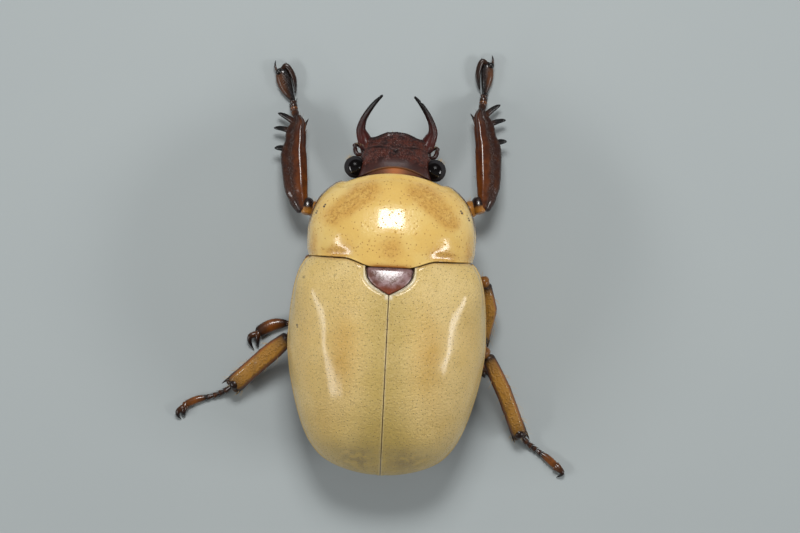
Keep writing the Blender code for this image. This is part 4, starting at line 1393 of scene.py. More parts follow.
@dataclass
class Head:
    """The head capsule with its clypeus rim, suture and neck, and the eyes and their tufts."""

    neck_front: float = 7.17
    neck_bow: float = 0.13
    front_edge: Profile = (
        (0, 9.8), (0.7, 9.71), (1.1, 9.57), (1.4, 9.42), (1.6, 9.36), (1.9, 9.3), (2.2, 9.15),
    )
    half_width: Profile = (
        (0, 2.72), (0.2, 2.8), (0.35, 2.76), (0.5, 2.56), (0.6, 2.42), (0.75, 2.3), (0.88, 2.14), (1, 1.9),
    )
    crown: Profile = ((0, 7.15), (0.25, 7.02), (0.5, 6.55), (0.75, 5.95), (1, 5.3))
    margin: Profile = ((0, 5.4), (0.5, 5.1), (1, 4.95))
    under: Profile = ((0, 3.7), (0.5, 3.7), (0.8, 4.0), (1, 4.5))
    suture: Profile = ((0, 8.32), (0.35, 8.5), (0.9, 8.66), (1.5, 8.64), (2.38, 8.35), (3.0, 8.2))
    eye: tuple[float, float, float] = (2.9, 7.08, 5.66)
    eye_radii: tuple[float, float, float] = (0.77, 0.8, 0.82)
    eye_grid: tuple[int, int] = (44, 72)
    rows: int = 110
    columns: int = 168
    core_height: float = 5.0
    depth: float = 3.2
    collar_overlap: float = 0.1
    knobs: tuple[Station, ...] = ((0.0, 8.35, 0.15, 0.15, -0.09), (1.1, 7.9, 0.5, 0.5, 0.06))
    notch: tuple[Station, ...] = ((0.65, 9.62, 0.16, 0.16, 0.06),)

    def build(self, wardrobe: Wardrobe) -> None:
        """Makes and dresses the capsule and the eyes."""
        share = crowded(self.rows)[:, None]
        turns = ring_turns(self.columns)
        sizes = (curve(table, share) for table in (self.half_width, self.crown, self.margin, self.under))
        out, up = dome_ring(*sizes, turns, (2.3, 2.0))
        aside = np.abs(out)
        ahead = mixed(collar_line(out) - self.collar_overlap, curve(self.front_edge, aside), share)
        points = np.stack((out, ahead, up), axis=-1)
        above = stepped(np.cos(turns), -0.1, 0.15)
        to_front = (1 - share) * self.depth
        to_side = np.where(share > 0.5, (1 - np.abs(np.sin(turns))) * 4 + 0.6 * (share < 0.72), 9)
        to_edge = np.minimum(to_front, to_side)
        to_suture = ahead - curve(self.suture, aside)
        to_neck = ahead - (self.neck_front - self.neck_bow * out**2)
        to_eye = np.linalg.norm(np.stack((aside, ahead, up), axis=-1) - self.eye, axis=-1)
        neck = stepped(to_neck, 0.03, -0.05)
        cut = 0.25 + 0.75 * bell(aside - 1.25, 0.55)
        height = mounds(self.knobs, aside, ahead) + mounds(self.notch, out, ahead)
        height += (0.05 * bell(to_suture - 0.17, 0.1) - 0.1 * bell(to_suture, 0.08)) * cut
        height += 0.07 * bell(to_edge - 0.1, 0.12) - 0.02 * bell(to_edge - 0.45, 0.2)
        height = height * above - 0.16 * neck - 0.12 * np.clip(1 - to_front / 0.12, 0, 1) ** 2
        height += 0.07 * bell(to_eye - 0.98, 0.12)
        points = raised(points, height, midline(points, self.core_height), True)
        # Painted shade: the suture's groove and the centre pit are darkened; the front edge and the underside
        # are darker too.
        dark = (bell(to_suture, 0.07) * cut + 0.95 * blot(out, ahead - 8.38, 0.22)) * above
        dark = dark + 0.8 * stepped(to_front, 0.35, 0.15) + 0.5 * stepped(np.cos(turns), 0.1, -0.3)
        skin = Skin("head_capsule").add(
            points,
            warm=neck * above * stepped(aside, 2.6, 1.2),
            glow=blot(out * 0.75, ahead - 6.85, 0.5),
            lip=0.7 * bell(to_neck - 0.02, 0.03) * above * stepped(aside, 2.4, 1.6),
            rugged=stepped(ahead + 0.16 * out**2, 7.6, 8.1),
            shade=np.clip(dark, 0, 1),
            hair=stepped(np.cos(turns), -0.2, -0.6) * stepped(share, 0.1, 0.3),
            unwrap_u=turns / FULL_TURN,
            unwrap_v=share,
        )
        capsule = wardrobe.dress(skin.build(), Finish.HEAD, "head", "head")
        Bristles("chin_hairs", 3.0, 0.5, 0.025, (0.0, -0.6, -0.3)).grow(capsule, wardrobe, "head")
        for side in Side:
            self.build_eye(side, wardrobe)

    def build_eye(self, side: Side, wardrobe: Wardrobe) -> None:
        """Makes one eye with the tuft at its front."""
        skin = Skin(f"eye_globe_{side.word}", side)
        rings, sides = self.eye_grid
        fall, turn = ball_falls(rings), ring_turns(sides)
        inward = -np.sin(fall) * np.cos(turn)
        forward = np.sin(fall) * np.sin(turn)
        disc = np.hypot(inward - 0.12, forward + 0.04)
        front = stepped(forward * 0.85 - inward * 0.5, 0.9, 0.96)
        ball(
            skin,
            self.eye,
            self.eye_radii,
            rings=rings,
            sides=sides,
            # The shade trait marks the eye's outer ring, which the eye finish paints grey as a painted
            # reflection of the surroundings.
            shade=stepped(disc, 0.67, 0.78) * stepped(inward, 1.0, 0.2),
            dim=stepped(forward, -0.2, 0.1),
            hair=front * stepped(np.cos(fall), -0.2, 0.1),
        )
        globe = wardrobe.dress(skin.build(), Finish.EYE, "eye", f"eye_{side.word}")
        tuft = Bristles(f"eye_tuft_{side.word}", 170.0, 0.24, 0.018, (side.value * 0.8, -0.9, 0.3), seed=3)
        tuft.grow(globe, wardrobe, "eye")


@dataclass
class Mandibles:
    """The two long sickle jaws, which curve out, then in to black points."""

    stations: tuple[Station, ...] = (
        (2.08, 8.5, 4.5, 0.95, 1.1, 0.2, 0.3),
        (2.33, 9.15, 4.52, 0.96, 1.0, 0.1, 0.7),
        (2.57, 9.8, 4.6, 0.66, 0.8, 0.1, 0.3),
        (2.46, 10.45, 4.85, 0.45, 0.56, 0.3, 0.2),
        (2.22, 10.95, 5.15, 0.38, 0.46, 0.55, 0.1),
        (1.93, 11.4, 5.46, 0.33, 0.38, 0.85, 0.0),
        (1.58, 11.86, 5.82, 0.27, 0.3, 1.0, 0.0),
        (1.19, 12.28, 6.12, 0.18, 0.18, 1.0, 0.0),
    )

    def build(self, side: Side, wardrobe: Wardrobe) -> None:
        """Makes and dresses one jaw with its hairs, and for the right jaw its small outer notch."""
        skin = Skin(f"jaw_{side.word}", side)

        def relief(share: np.ndarray, turn: np.ndarray) -> np.ndarray:
            """A blunt keel along the outer edge, a hollow above it, and a knob at the root."""
            outer = np.cos(turn)
            keel = 0.05 * bell(outer - 1, 0.25) * stepped(share, 0.05, 0.3) * stepped(share, 0.98, 0.7)
            hollow = -0.05 * bell(np.sin(turn) - 0.75, 0.25) * (outer > 0) * bell(share - 0.3, 0.25)
            knob = 0.07 * bell(share - 0.1, 0.06) * stepped(np.sin(turn), -0.4, 0.4)
            if side is Side.LEFT:
                return keel + hollow + knob
            return keel + hollow + knob - 0.07 * bell(share - 0.83, 0.018) * stepped(outer, 0.3, 0.9)

        def hair(share: np.ndarray, turn: np.ndarray) -> np.ndarray:
            """Hairs on the outer face of the root."""
            return stepped(np.cos(turn), 0.1, 0.7) * bell(share - 0.14, 0.1)

        Limb(self.stations, sides=36, steps=12, rounded=(0.3, 0.8), relief=relief, hair=hair).add_to(skin)
        jaw = wardrobe.dress(skin.build(), Finish.JAW, "jaw", f"mandible_{side.word}")
        hairs = Bristles(f"jaw_hairs_{side.word}", 6.0, 0.3, 0.018, (side.value * 0.6, -0.8, 0.2))
        hairs.grow(jaw, wardrobe, "jaw")


@dataclass
class Antennae:
    """The feelers: a stalk that bows out before the eye, small joints, and a club of three leaves."""

    stalk: tuple[Station, ...] = (
        (2.4, 7.95, 4.6, 0.24, 0.26, 0.6, 0.0),
        (2.62, 8.0, 4.68, 0.27, 0.28, 0.5, 0.0),
        (2.85, 8.1, 4.68, 0.32, 0.33, 0.4, 0.0),
        (2.95, 8.36, 4.55, 0.33, 0.34, 0.4, 0.05),
        (2.96, 8.56, 4.35, 0.27, 0.28, 0.6, 0.0),
    )
    joints: tuple[tuple[float, float, float, float], ...] = (
        (3.02, 8.66, 4.14, 0.3), (2.95, 8.74, 3.95, 0.27), (2.87, 8.76, 3.77, 0.27),
        (2.77, 8.73, 3.6, 0.28), (2.66, 8.68, 3.45, 0.3), (2.55, 8.62, 3.3, 0.33),
    )
    leaf_root: tuple[float, float, float] = (2.45, 8.55, 3.12)
    leaf_tip: tuple[float, float, float] = (1.7, 7.0, 2.55)
    leaf_spread: float = 0.4
    leaves: int = 3
    leaf_sizes: tuple[tuple[float, float], ...] = ((0.25, 0.3), (0.3, 0.62), (0.32, 0.66), (0.2, 0.35))

    def build(self, side: Side, wardrobe: Wardrobe) -> None:
        """Makes and dresses one feeler."""
        skin = Skin(f"feeler_{side.word}", side)
        Limb(self.stalk, sides=24, steps=6).add_to(skin)
        for out, ahead, up, size in self.joints:
            radii = (size / 2, size / 2, size / 2.2)
            ball(skin, (out, ahead, up), radii, rings=12, sides=20, shade=0.4, warm=0.1)
        root, tip = np.array(self.leaf_root), np.array(self.leaf_tip)
        for leaf in range(self.leaves):
            aside = (leaf - (self.leaves - 1) / 2) * self.leaf_spread
            end = tip + (aside * 1.1, 0, -0.12 * aside)
            middle = mixed(root, end, 0.6) + (aside * 0.25, 0, 0)
            places = (root, mixed(root, middle, 0.6), mixed(middle, end, 0.4), end)
            rows = [(*place, *size, 0.3, 0.3) for place, size in zip(places, self.leaf_sizes)]
            Limb(rows, sides=24, steps=7).add_to(skin)
        wardrobe.dress(skin.build(), Finish.FEELER, "feeler", f"antenna_{side.word}")


@dataclass
class Mouth:
    """The chin plate under the head, with a jointed palp on each side."""

    chin: tuple[float, float, float] = (0.0, 8.0, 3.15)
    chin_radii: tuple[float, float, float] = (1.2, 1.0, 0.55)
    chin_rings: int = 28
    palp: tuple[tuple[Station, Station], ...] = (
        ((0.8, 8.4, 3.1, 0.3), (1.12, 8.82, 2.96, 0.42)),
        ((1.14, 8.86, 2.94, 0.28), (1.29, 9.2, 2.76, 0.44)),
        ((1.29, 9.23, 2.72, 0.28), (1.2, 9.42, 2.42, 0.42)),
        ((1.2, 9.42, 2.38, 0.28), (1.06, 9.4, 2.02, 0.3)),
    )

    def build(self, wardrobe: Wardrobe) -> None:
        """Makes and dresses the mouthparts."""
        skin = Skin("mouth")
        below = stepped(np.cos(ball_falls(self.chin_rings)), -0.2, -0.7)
        rings = {"rings": self.chin_rings, "sides": 48}
        ball(skin, self.chin, self.chin_radii, **rings, shade=0.15, warm=0.2, hair=below)
        for sign in (1, -1):
            for start, stop in self.palp:
                narrow, wide = start[3], stop[3]
                start, stop = (np.array(end[:3]) * (sign, 1, 1) for end in (start, stop))
                rows = [(*start, narrow, narrow, 0.5, 0.0), (*mixed(start, stop, 0.6), wide, wide, 0.0, 0.4)]
                Limb([*rows, (*stop, wide * 0.8, wide * 0.8, 0.2, 0.3)], sides=18, steps=5).add_to(skin)
        mouth = wardrobe.dress(skin.build(), Finish.FEELER, "feeler", "mouthparts")
        Bristles("mouth_hairs", 8.0, 0.5, 0.025, (0.0, -0.8, -0.2)).grow(mouth, wardrobe, "feeler")


@dataclass
class Trunk:
    """The body under the wing cases: thorax, belly plates and pygidium."""

    front_gap: float = 0.03
    apex: float = -14.05
    under: Profile = (
        (0, 3.1), (6, 2.2), (15, 1.9), (25, 1.9), (37, 2.0),
        (47, 2.2), (57, 2.5), (67, 2.9), (74, 3.4), (80, 4.2),
    )
    inset: float = 0.95
    front_inset: float = 0.42
    thorax_rear: float = 22.0
    plates: tuple[float, ...] = (22.0, 28.0, 34.0, 40.5, 47.5, 55.5, 65.0, 80.0)
    plate_step: float = 0.14
    pygidium_plane: tuple[float, float, float] = (0.9, 0.436, 9.75)
    plate_shares: tuple[float, ...] = (0.0, 0.04, 0.1, 0.25, 0.45, 0.65, 0.82, 0.9, 0.96, 0.985)
    furrow: tuple[float, float] = (-2.55, -0.12)
    core_height: float = 5.0
    columns: int = 144

    def sections(self, turn: np.ndarray, step: np.ndarray) -> tuple[np.ndarray, np.ndarray]:
        """Cross-sections of the body at turns.

        Args:
            turn: the sections' turns in degrees, as a column.
            step: how far each section's underside is lowered, as a column.

        Returns:
            The grid of places, and the columns' turns from the top.
        """
        cases = WingCases()
        share = np.sin(np.radians(turn))
        margin = curve(cases.margin, turn)
        inset = mixed(self.front_inset, self.inset, stepped(turn, 0.0, 9.0))
        crown = np.maximum(curve(cases.crown, turn) - inset, margin + 0.35)
        widest = max(half for _, half in cases.half_width)
        half = curve(cases.half_width, turn) * (1 - np.maximum(inset - 0.25, 0.14) / widest) + step * 0.5
        round_turns = ring_turns(self.columns)
        under = curve(self.under, turn) - step
        out, up = dome_ring(half, crown, margin, under, round_turns, (cases.roundness, 2.0))
        ahead = mixed(waist_line(out) - self.front_gap, self.apex, share)
        return np.stack((out, ahead, up), axis=-1), round_turns + 0 * out

    def build(self, wardrobe: Wardrobe) -> None:
        """Makes and dresses the three pieces."""
        self.build_thorax(wardrobe)
        self.build_belly(wardrobe)

    def build_thorax(self, wardrobe: Wardrobe) -> None:
        """The middle and hind thorax, with a groove along its middle and hair."""
        turn = np.linspace(0, self.thorax_rear - 0.4, 60)[:, None]
        points, around = self.sections(turn, np.zeros_like(turn))
        below = stepped(np.cos(around), 0.0, -0.35)
        out, ahead = points[..., 0], points[..., 1]
        aside = np.abs(out)
        place, slant = self.furrow
        to_furrow = ahead - place - slant * aside
        height = 0.1 * bell(aside - 1.6, 1.0) - 0.12 * bell(out, 0.14) - 0.12 * bell(to_furrow, 0.12)
        points = raised(points, height * below, midline(points, self.core_height), True)
        skin = Skin("breast").add(
            points,
            shade=np.clip((0.7 * bell(out, 0.12) + 0.6 * bell(to_furrow, 0.12)) * below, 0, 1),
            warm=0.4 * bell(aside - 1.4, 0.8) * below,
            hair=below * stepped(aside, 0.5, 1.6),
            unwrap_u=around / FULL_TURN,
            unwrap_v=turn / self.thorax_rear,
        )
        breast = wardrobe.dress(skin.build(), Finish.UNDER, "under", "thorax")
        Bristles("breast_hairs", 5.0, 0.7, 0.028, (0.0, 0.7, -0.2)).grow(breast, wardrobe, "under")

    def build_belly(self, wardrobe: Wardrobe) -> None:
        """The stepped belly plates, and the pygidium that closes the rear."""
        rows, steps, seams = [], [], []
        for start, end in zip(self.plates, self.plates[1:]):
            last = end == self.plates[-1]
            for share in self.plate_shares:
                rows.append(mixed(start, end, share))
                steps.append(0.0 if last else self.plate_step * stepped(share, -0.1, 0.9))
                seams.append(0.0 if last else float(stepped(share, 0.12, 0.0)))
        turn, step, seam = (np.array(values)[:, None] for values in (rows, steps, seams))
        points, around = self.sections(turn, step)
        below = stepped(np.cos(around), 0.1, -0.2)
        back, down, distance = self.pygidium_plane
        reach = (-points[..., 1] * back - points[..., 2] * down) / math.hypot(back, down)
        row_hair = bell(np.mod(turn - 25.0, 6.6) - 2.2, 0.5) * below
        skin = Skin("belly").add(
            points,
            shade=np.clip(seam * below * 0.7 + 0.35 * bell(reach - distance, 0.25), 0, 1),
            warm=0.45 * stepped(np.abs(points[..., 0]), 3.0, 1.0) * below,
            hair=row_hair * (reach < distance),
            unwrap_u=around / FULL_TURN,
            unwrap_v=turn / self.plates[-1],
        )
        belly = skin.build()
        normal = Vector((0, back, -down)).normalized()
        middle = Vector((STANCE.middle, STANCE.waist, 0))
        shield = belly.copy()
        shield.data = belly.data.copy()
        shield.name = "tail_shield"
        bpy.context.scene.collection.objects.link(shield)
        for piece, way in ((belly, 1), (shield, -1)):
            self.cut(piece, middle + normal * (distance - 0.04 * way) * MM, normal * way)
        wardrobe.dress(belly, Finish.UNDER, "under", "abdomen")
        wardrobe.dress(shield, Finish.UNDER, "under", "pygidium")
        Bristles("belly_hairs", 9.0, 0.5, 0.025, (0.0, 0.9, -0.1)).grow(belly, wardrobe, "under")

    @staticmethod
    def cut(piece: bpy.types.Object, place: Vector, normal: Vector) -> None:
        """Keeps the part of a closed mesh behind a plane, and closes the cut."""
        work = bmesh.new()
        work.from_mesh(piece.data)
        everything = work.verts[:] + work.edges[:] + work.faces[:]
        plane = {"plane_co": place, "plane_no": normal}
        found = bmesh.ops.bisect_plane(work, geom=everything, **plane, clear_outer=True, dist=MERGE)
        rim = [item for item in found["geom_cut"] if isinstance(item, bmesh.types.BMEdge)]
        bmesh.ops.holes_fill(work, edges=rim, sides=0)
        bmesh.ops.recalc_face_normals(work, faces=work.faces)
        work.to_mesh(piece.data)
        work.free()


class LegKind(Enum):
    """What a leg is made for."""

    DIGGING = "front"
    WALKING = "middle or hind"


@dataclass(frozen=True)
class LegPose:
    """One leg's places: out from the middle, ahead of the waist and up from the floor."""

    name: str
    side: Side
    kind: LegKind
    coxa: tuple[float, float, float]
    coxa_radii: tuple[float, float, float]
    hip: tuple[float, float, float]
    knee: tuple[float, float, float]
    ankle: tuple[float, float, float]
    toes: tuple[tuple[float, float, float], ...]
    claw_joint: tuple[float, float]
    arch: float
    claws: tuple[tuple[float, float, float, float], ...]
    femur_width: float
    shin: tuple[float, float, float] = (0.0, 0.0, 0.0)
    shin_width: float = 0.0


HIP_WORDS = ("kind", "coxa", "coxa_radii", "hip")
FRONT_HIP, MIDDLE_HIP, HIND_HIP = (
    dict(zip(HIP_WORDS, sizes))
    for sizes in (
        (LegKind.DIGGING, (1.75, 2.9, 2.35), (1.35, 0.95, 0.95), (2.3, 2.8, 1.75)),
        (LegKind.WALKING, (2.1, -1.5, 1.75), (1.35, 0.85, 0.65), (2.6, -1.6, 1.35)),
        (LegKind.WALKING, (3.1, -4.75, 1.75), (2.7, 0.85, 0.6), (2.9, -5.2, 1.3)),
    )
)
POSES = (
    LegPose(
        "front_left", Side.LEFT, **FRONT_HIP, knee=(6.4, 4.15, 2.75), ankle=(7.3, 10.4, 1.3),
        toes=((7.58, 11.05, 0.75), (7.7, 11.5, 0.42), (7.72, 11.85, 0.36), (8.68, 14.1, 0.34)),
        claw_joint=(1.04, 0.74), arch=0.15, claws=((9.14, 14.76, 9.16, 14.3),), femur_width=1.65,
    ),
    LegPose(
        "front_right", Side.RIGHT, **FRONT_HIP, knee=(6.35, 4.85, 2.75), ankle=(6.1, 11.5, 1.3),
        toes=((6.18, 12.15, 0.75), (6.22, 12.6, 0.42), (6.25, 12.95, 0.36), (6.38, 15.25, 0.34)),
        claw_joint=(0.88, 0.74), arch=0.08, claws=((6.68, 15.91, 6.76, 15.55),), femur_width=1.65,
    ),
    LegPose(
        "middle_left", Side.LEFT, **MIDDLE_HIP, knee=(6.05, 0.2, 3.1), ankle=(5.4, -4.0, 1.1),
        toes=((6.15, -4.42, 0.45), (6.9, -4.5, 0.28), (7.45, -4.5, 0.3), (9.5, -5.35, 0.34)),
        claw_joint=(0.92, 0.76), arch=-0.22, claws=((9.68, -6.6, 10.05, -5.7), (9.4, -6.45, 9.46, -5.7)),
        femur_width=1.5, shin=(5.8, -2.0, 2.1), shin_width=0.95,
    ),
    LegPose(
        "middle_right", Side.RIGHT, **MIDDLE_HIP, knee=(7.0, -0.75, 3.1), ankle=(7.02, -4.85, 1.1),
        toes=((6.9, -5.6, 0.45), (6.75, -6.1, 0.26), (6.7, -6.5, 0.26), (7.2, -7.25, 0.26)),
        claw_joint=(0.58, 0.56), arch=0.0, claws=((7.6, -7.75, 7.5, -7.4), (7.35, -7.8, 7.2, -7.5)),
        femur_width=1.5, shin=(7.4, -2.9, 2.1), shin_width=0.95,
    ),
    LegPose(
        "hind_left", Side.LEFT, **HIND_HIP, knee=(7.0, -5.35, 3.0), ankle=(10.95, -9.1, 1.1),
        toes=((11.7, -9.7, 0.45), (12.5, -10.06, 0.26), (13.0, -10.22, 0.26), (14.55, -10.86, 0.26)),
        claws=((14.78, -11.92, 15.04, -11.4), (14.5, -11.7, 14.62, -11.3)),
        claw_joint=(0.56, 0.54), arch=-0.1, femur_width=2.0, shin=(9.0, -7.2, 2.15), shin_width=1.3,
    ),
    LegPose(
        "hind_right", Side.RIGHT, **HIND_HIP, knee=(7.3, -5.95, 3.0), ankle=(10.0, -11.7, 1.1),
        toes=((10.66, -12.4, 0.45), (11.3, -12.86, 0.26), (11.68, -13.12, 0.26), (12.88, -14.05, 0.26)),
        claws=((12.91, -14.83, 13.3, -14.45), (13.25, -14.7, 13.25, -14.4)),
        claw_joint=(0.56, 0.54), arch=-0.05, femur_width=2.0, shin=(8.8, -8.9, 2.15), shin_width=1.1,
    ),
)
THORN = ((0, 1.0), (0.25, 0.9), (0.5, 0.68), (0.75, 0.42), (0.92, 0.2), (1, 0.09))
FINGER = ((0, 1.7), (0.12, 1.25), (0.32, 0.96), (0.6, 0.82), (0.82, 0.66), (0.95, 0.46), (1, 0.3))


def thorn(
    skin: Skin,
    root: np.ndarray,
    tip: np.ndarray,
    width: float,
    bend: np.ndarray,
    shade: float = 0.2,
    warm: float = 0.2,
    sizes: Profile = THORN,
) -> None:
    """Adds a tapered spine that darkens to its tip.

    Args:
        skin: the skin that gets it.
        root: where it starts, as (out, ahead, up).
        tip: where it ends.
        width: its width at the root.
        bend: how far its middle is pushed aside.
        shade: how dark its root is.
        warm: how warm its root is.
        sizes: pairs of a share along it and its size there.
    """
    rows = []
    for share, size in sizes:
        place = mixed(root, tip, share) + bend * 4 * share * (1 - share)
        dark = mixed(shade, 1.0, min(1, share * 1.8))
        rows.append((*place, width * size, width * size, dark, warm * (1 - share)))
    Limb(rows, sides=16, steps=4, rounded=(0.3, 0.9)).add_to(skin)


@dataclass
class Leg:
    """One leg from coxa to claws, in its own pose.

    A digging shin's places are shares of the way from knee to ankle, with how far outwards each lies.
    """

    pose: LegPose
    knee_size: float = 0.95
    claw_tip_height: float = 0.1
    tooth_droop: float = 0.35
    digging_shin: tuple[tuple[float, ...], ...] = (
        (-0.04, 0.3, 0.85, 0.7, 0.3, 0.1),
        (0.05, 0.42, 1.3, 0.85, 0.15, 0.2),
        (0.12, 0.47, 1.5, 0.9, 0.15, 0.35),
        (0.23, 0.55, 1.76, 1.0, 0.0, 0.25),
        (0.46, 0.54, 1.92, 1.0, 0.0, 0.12),
        (0.6, 0.52, 1.95, 0.95, 0.05, 0.1),
        (0.68, 0.42, 1.76, 0.92, 0.1, 0.1),
        (0.75, 0.3, 1.6, 0.9, 0.1, 0.1),
        (0.86, 0.2, 1.5, 0.85, 0.15, 0.1),
        (0.96, -0.02, 1.08, 0.78, 0.3, 0.15),
        (1.035, 0.0, 0.6, 0.62, 0.7, 0.1),
    )
    teeth: tuple[tuple[float, ...], ...] = (
        (0.655, 0.8, 0.7, 1.82, 0.52), (0.865, 0.4, 0.935, 1.74, 0.46), (0.955, 0.12, 1.1, 1.34, 0.48),
    )
    digging_spur: tuple[float, ...] = (0.905, -0.42, 1.005, -0.82, 0.26)
    knee_cap: tuple[tuple[float, ...], ...] = (
        (-0.55, -0.02, 0.85, 0.0), (-0.3, -0.1, 0.98, 0.15), (-0.12, -0.14, 1.04, 1.0),
        (0.12, -0.17, 1.02, 1.0), (0.34, -0.17, 0.92, 1.0),
    )
    shin_sizes: tuple[tuple[float, float, float, float], ...] = (
        (0.82, 0.78, 0.95, 0.0), (0.9, 0.84, 0.4, 0.3), (1.03, 0.94, 0.0, 0.1), (1.05, 0.97, 0.0, 0.1),
        (1.05, 0.98, 0.05, 0.1), (1.1, 0.98, 0.55, 0.0), (1.0, 0.88, 0.95, 0.0),
    )
    spurs: tuple[tuple[float, float, float], ...] = ((-0.45, 0.75, 0.28), (0.45, 0.55, 0.26))
    thorn_angles: tuple[float, ...] = (-1.4, -0.7, 0.0, 0.7, 1.4)
    foot_clear: tuple[float, float] = (0.1, 0.3)
    bead_sizes: tuple[float, float] = (0.56, 0.43)
    hook: tuple[tuple[float, float, float], ...] = (
        (0.0, -0.05, 0.3), (0.14, -0.38, 0.38), (-0.25, -0.56, 0.4), (-0.9, -0.62, 0.37),
        (-1.45, -0.52, 0.27), (-1.85, -0.4, 0.15), (-2.0, -0.34, 0.05),
    )
    places: dict[str, np.ndarray] = field(init=False)

    def __post_init__(self) -> None:
        """Turns the pose's places into arrays."""
        names = ("hip", "knee", "shin", "ankle")
        self.places = {name: np.array(getattr(self.pose, name), float) for name in names}

    def build(self, wardrobe: Wardrobe) -> None:
        """Makes and dresses the leg's four pieces with their hairs."""
        self.build_coxa(wardrobe)
        self.build_femur(wardrobe)
        if self.digging:
            self.build_digging_tibia(wardrobe)
        else:
            self.build_walking_tibia(wardrobe)
        self.build_tarsus(wardrobe)

    def skin(self, part: str) -> Skin:
        """An empty skin for a part of this leg."""
        return Skin(f"{self.pose.name}_{part}_skin", self.pose.side)

    @property
    def digging(self) -> bool:
        """Whether this is a front leg."""
        return self.pose.kind is LegKind.DIGGING

    def dress(
        self, skin: Skin, part: str, looks: tuple[Finish, str], wardrobe: Wardrobe, *hairs: Any
    ) -> None:
        """Dresses a part of this leg and grows its hairs.

        Args:
            skin: the part's finished skin.
            part: the part's word in the solids' names.
            looks: its finish.
            wardrobe: what dresses it.
            *hairs: what Bristles take after their name.
        """
        name = f"{self.pose.name}_{part}"
        piece = wardrobe.dress(skin.build(), *looks, name)
        Bristles(f"{name}_hairs", *hairs).grow(piece, wardrobe, looks[1])

    def lie(self, start: np.ndarray, stop: np.ndarray, strength: float) -> tuple[float, float, float]:
        """The world direction from start to stop, which hairs lean along."""
        way = (stop - start) / np.linalg.norm(stop - start) * strength
        return (self.pose.side.value * way[0], -way[1], way[2])

    def build_coxa(self, wardrobe: Wardrobe) -> None:
        """The hip joint, an egg set across the breast, with the small trochanter at its end."""
        skin = self.skin("coxa")
        below = stepped(np.cos(ball_falls(30)), 0.3, -0.3)
        ball(skin, self.pose.coxa, self.pose.coxa_radii, rings=30, sides=48, warm=0.15, hair=below)
        hip = self.places["hip"]
        ball(skin, hip + (-0.1, 0.0, -0.05), (0.5, 0.42, 0.36), rings=18, sides=28, warm=0.3, shade=0.15)
        self.dress(skin, "coxa", (Finish.UNDER, "under"), wardrobe, 5.0, 0.5, 0.026, (0, 0.5, -0.2))

    def build_femur(self, wardrobe: Wardrobe) -> None:
        """The thigh, swollen and flattened, with a row of hairs on each edge."""
        hip, knee = self.places["hip"], self.places["knee"]
        width = self.pose.femur_width
        front = self.digging
        near, far = (0.3, 0.1) if front else (0.0, 0.2)
        sizes = (
            (0.0, 0.66, 0.8, near, 0.1),
            (0.15, 0.84, 0.92, near, 0.1),
            (0.38, 0.98, 1.02, near, 0.1),
            (0.62, 0.98, 1.08, near * 0.7, 0.3),
            (0.82, 0.76, 0.98, 0.0, 0.9 if front else 0.4),
            (0.93, 0.6, 0.92, far, 0.7 if front else 0.4),
        )
        rows = tapered(hip, knee, (width, 1.0), sizes)
        rows.append((*knee, self.knee_size * 0.92, self.knee_size * 0.95, 0.7 if front else 0.4, 0.4))

        def relief(share: np.ndarray, turn: np.ndarray) -> np.ndarray:
            """A groove under the end that the shin folds into, and a faint ridge along the top."""
            groove = -0.1 * bell(np.sin(turn) + 1, 0.3) * stepped(share, 0.5, 0.8)
            return groove + 0.03 * bell(np.cos(turn), 0.15) * (np.sin(turn) > 0) * bell(share - 0.5, 0.3)

        def hair(share: np.ndarray, turn: np.ndarray) -> np.ndarray:
            """Hairs along both edges and near the knee."""
            edges = bell(np.abs(np.cos(turn)) - 1, 0.12) * stepped(share, 0.15, 0.3)
            near_knee = 0.5 * bell(share - 0.84, 0.06) if front else 0.0
            return np.maximum(edges * stepped(share, 0.93, 0.85), near_knee)

        skin = self.skin("femur")
        Limb(rows, sides=44, steps=10, relief=relief, hair=hair).add_to(skin)
        if front:
            along, out = limb_axes(knee, self.places["ankle"])
            cap = [
                (*(knee + along * forward + out * outward), width * 0.97, width, shade, 0.85 - shade * 0.8)
                for forward, outward, width, shade in self.knee_cap
            ]
            Limb(cap, sides=32, steps=8, rounded=(0.3, 0.55)).add_to(skin)
        looks = (Finish.FEMUR if front else Finish.TAN_LEG, "tan_leg")
        self.dress(skin, "femur", looks, wardrobe, 9.0, 0.48, 0.026, self.lie(hip, knee, 0.7))

    def build_digging_tibia(self, wardrobe: Wardrobe) -> None:
        """A front shin: broad, keeled and dark, with three black teeth outside and a spur inside."""
        knee, ankle = self.places["knee"], self.places["ankle"]
        along, out = limb_axes(knee, ankle)

        def at(share: float, aside: float) -> np.ndarray:
            """A place a share of the way down the shin, and outwards from there."""
            return mixed(knee, ankle, share) + out * aside

        rows = [(*at(share, aside), *sizes) for share, aside, *sizes in self.digging_shin]

        def relief(share: np.ndarray, turn: np.ndarray) -> np.ndarray:
            """A keel along the inner third of the top, a channel beside it, and a swollen outer rim."""
            start = stepped(share, 0.1, 0.3)
            rise = mixed(0.05, 0.13, stepped(share, 0.15, 0.75)) * stepped(share, 0.99, 0.85)
            keel = rise * bell(turn - math.radians(118), 0.25)
            channel = -0.08 * bell(turn - math.radians(82), 0.26) * start
            rim = 0.05 * bell(turn - math.radians(32), 0.22) * start * stepped(share, 0.98, 0.8)
            flank = -0.05 * bell(turn - math.radians(150), 0.25) * stepped(share, 0.2, 0.4)
            return keel + channel + rim + flank

        def hair(share: np.ndarray, turn: np.ndarray) -> np.ndarray:
            """Stiff hairs along the inner edge, thick at the foot's root."""
            inner = bell(np.cos(turn) + 1, 0.16)
            return inner * (0.18 * stepped(share, 0.2, 0.35) + 1.0 * bell(share - 0.88, 0.07))

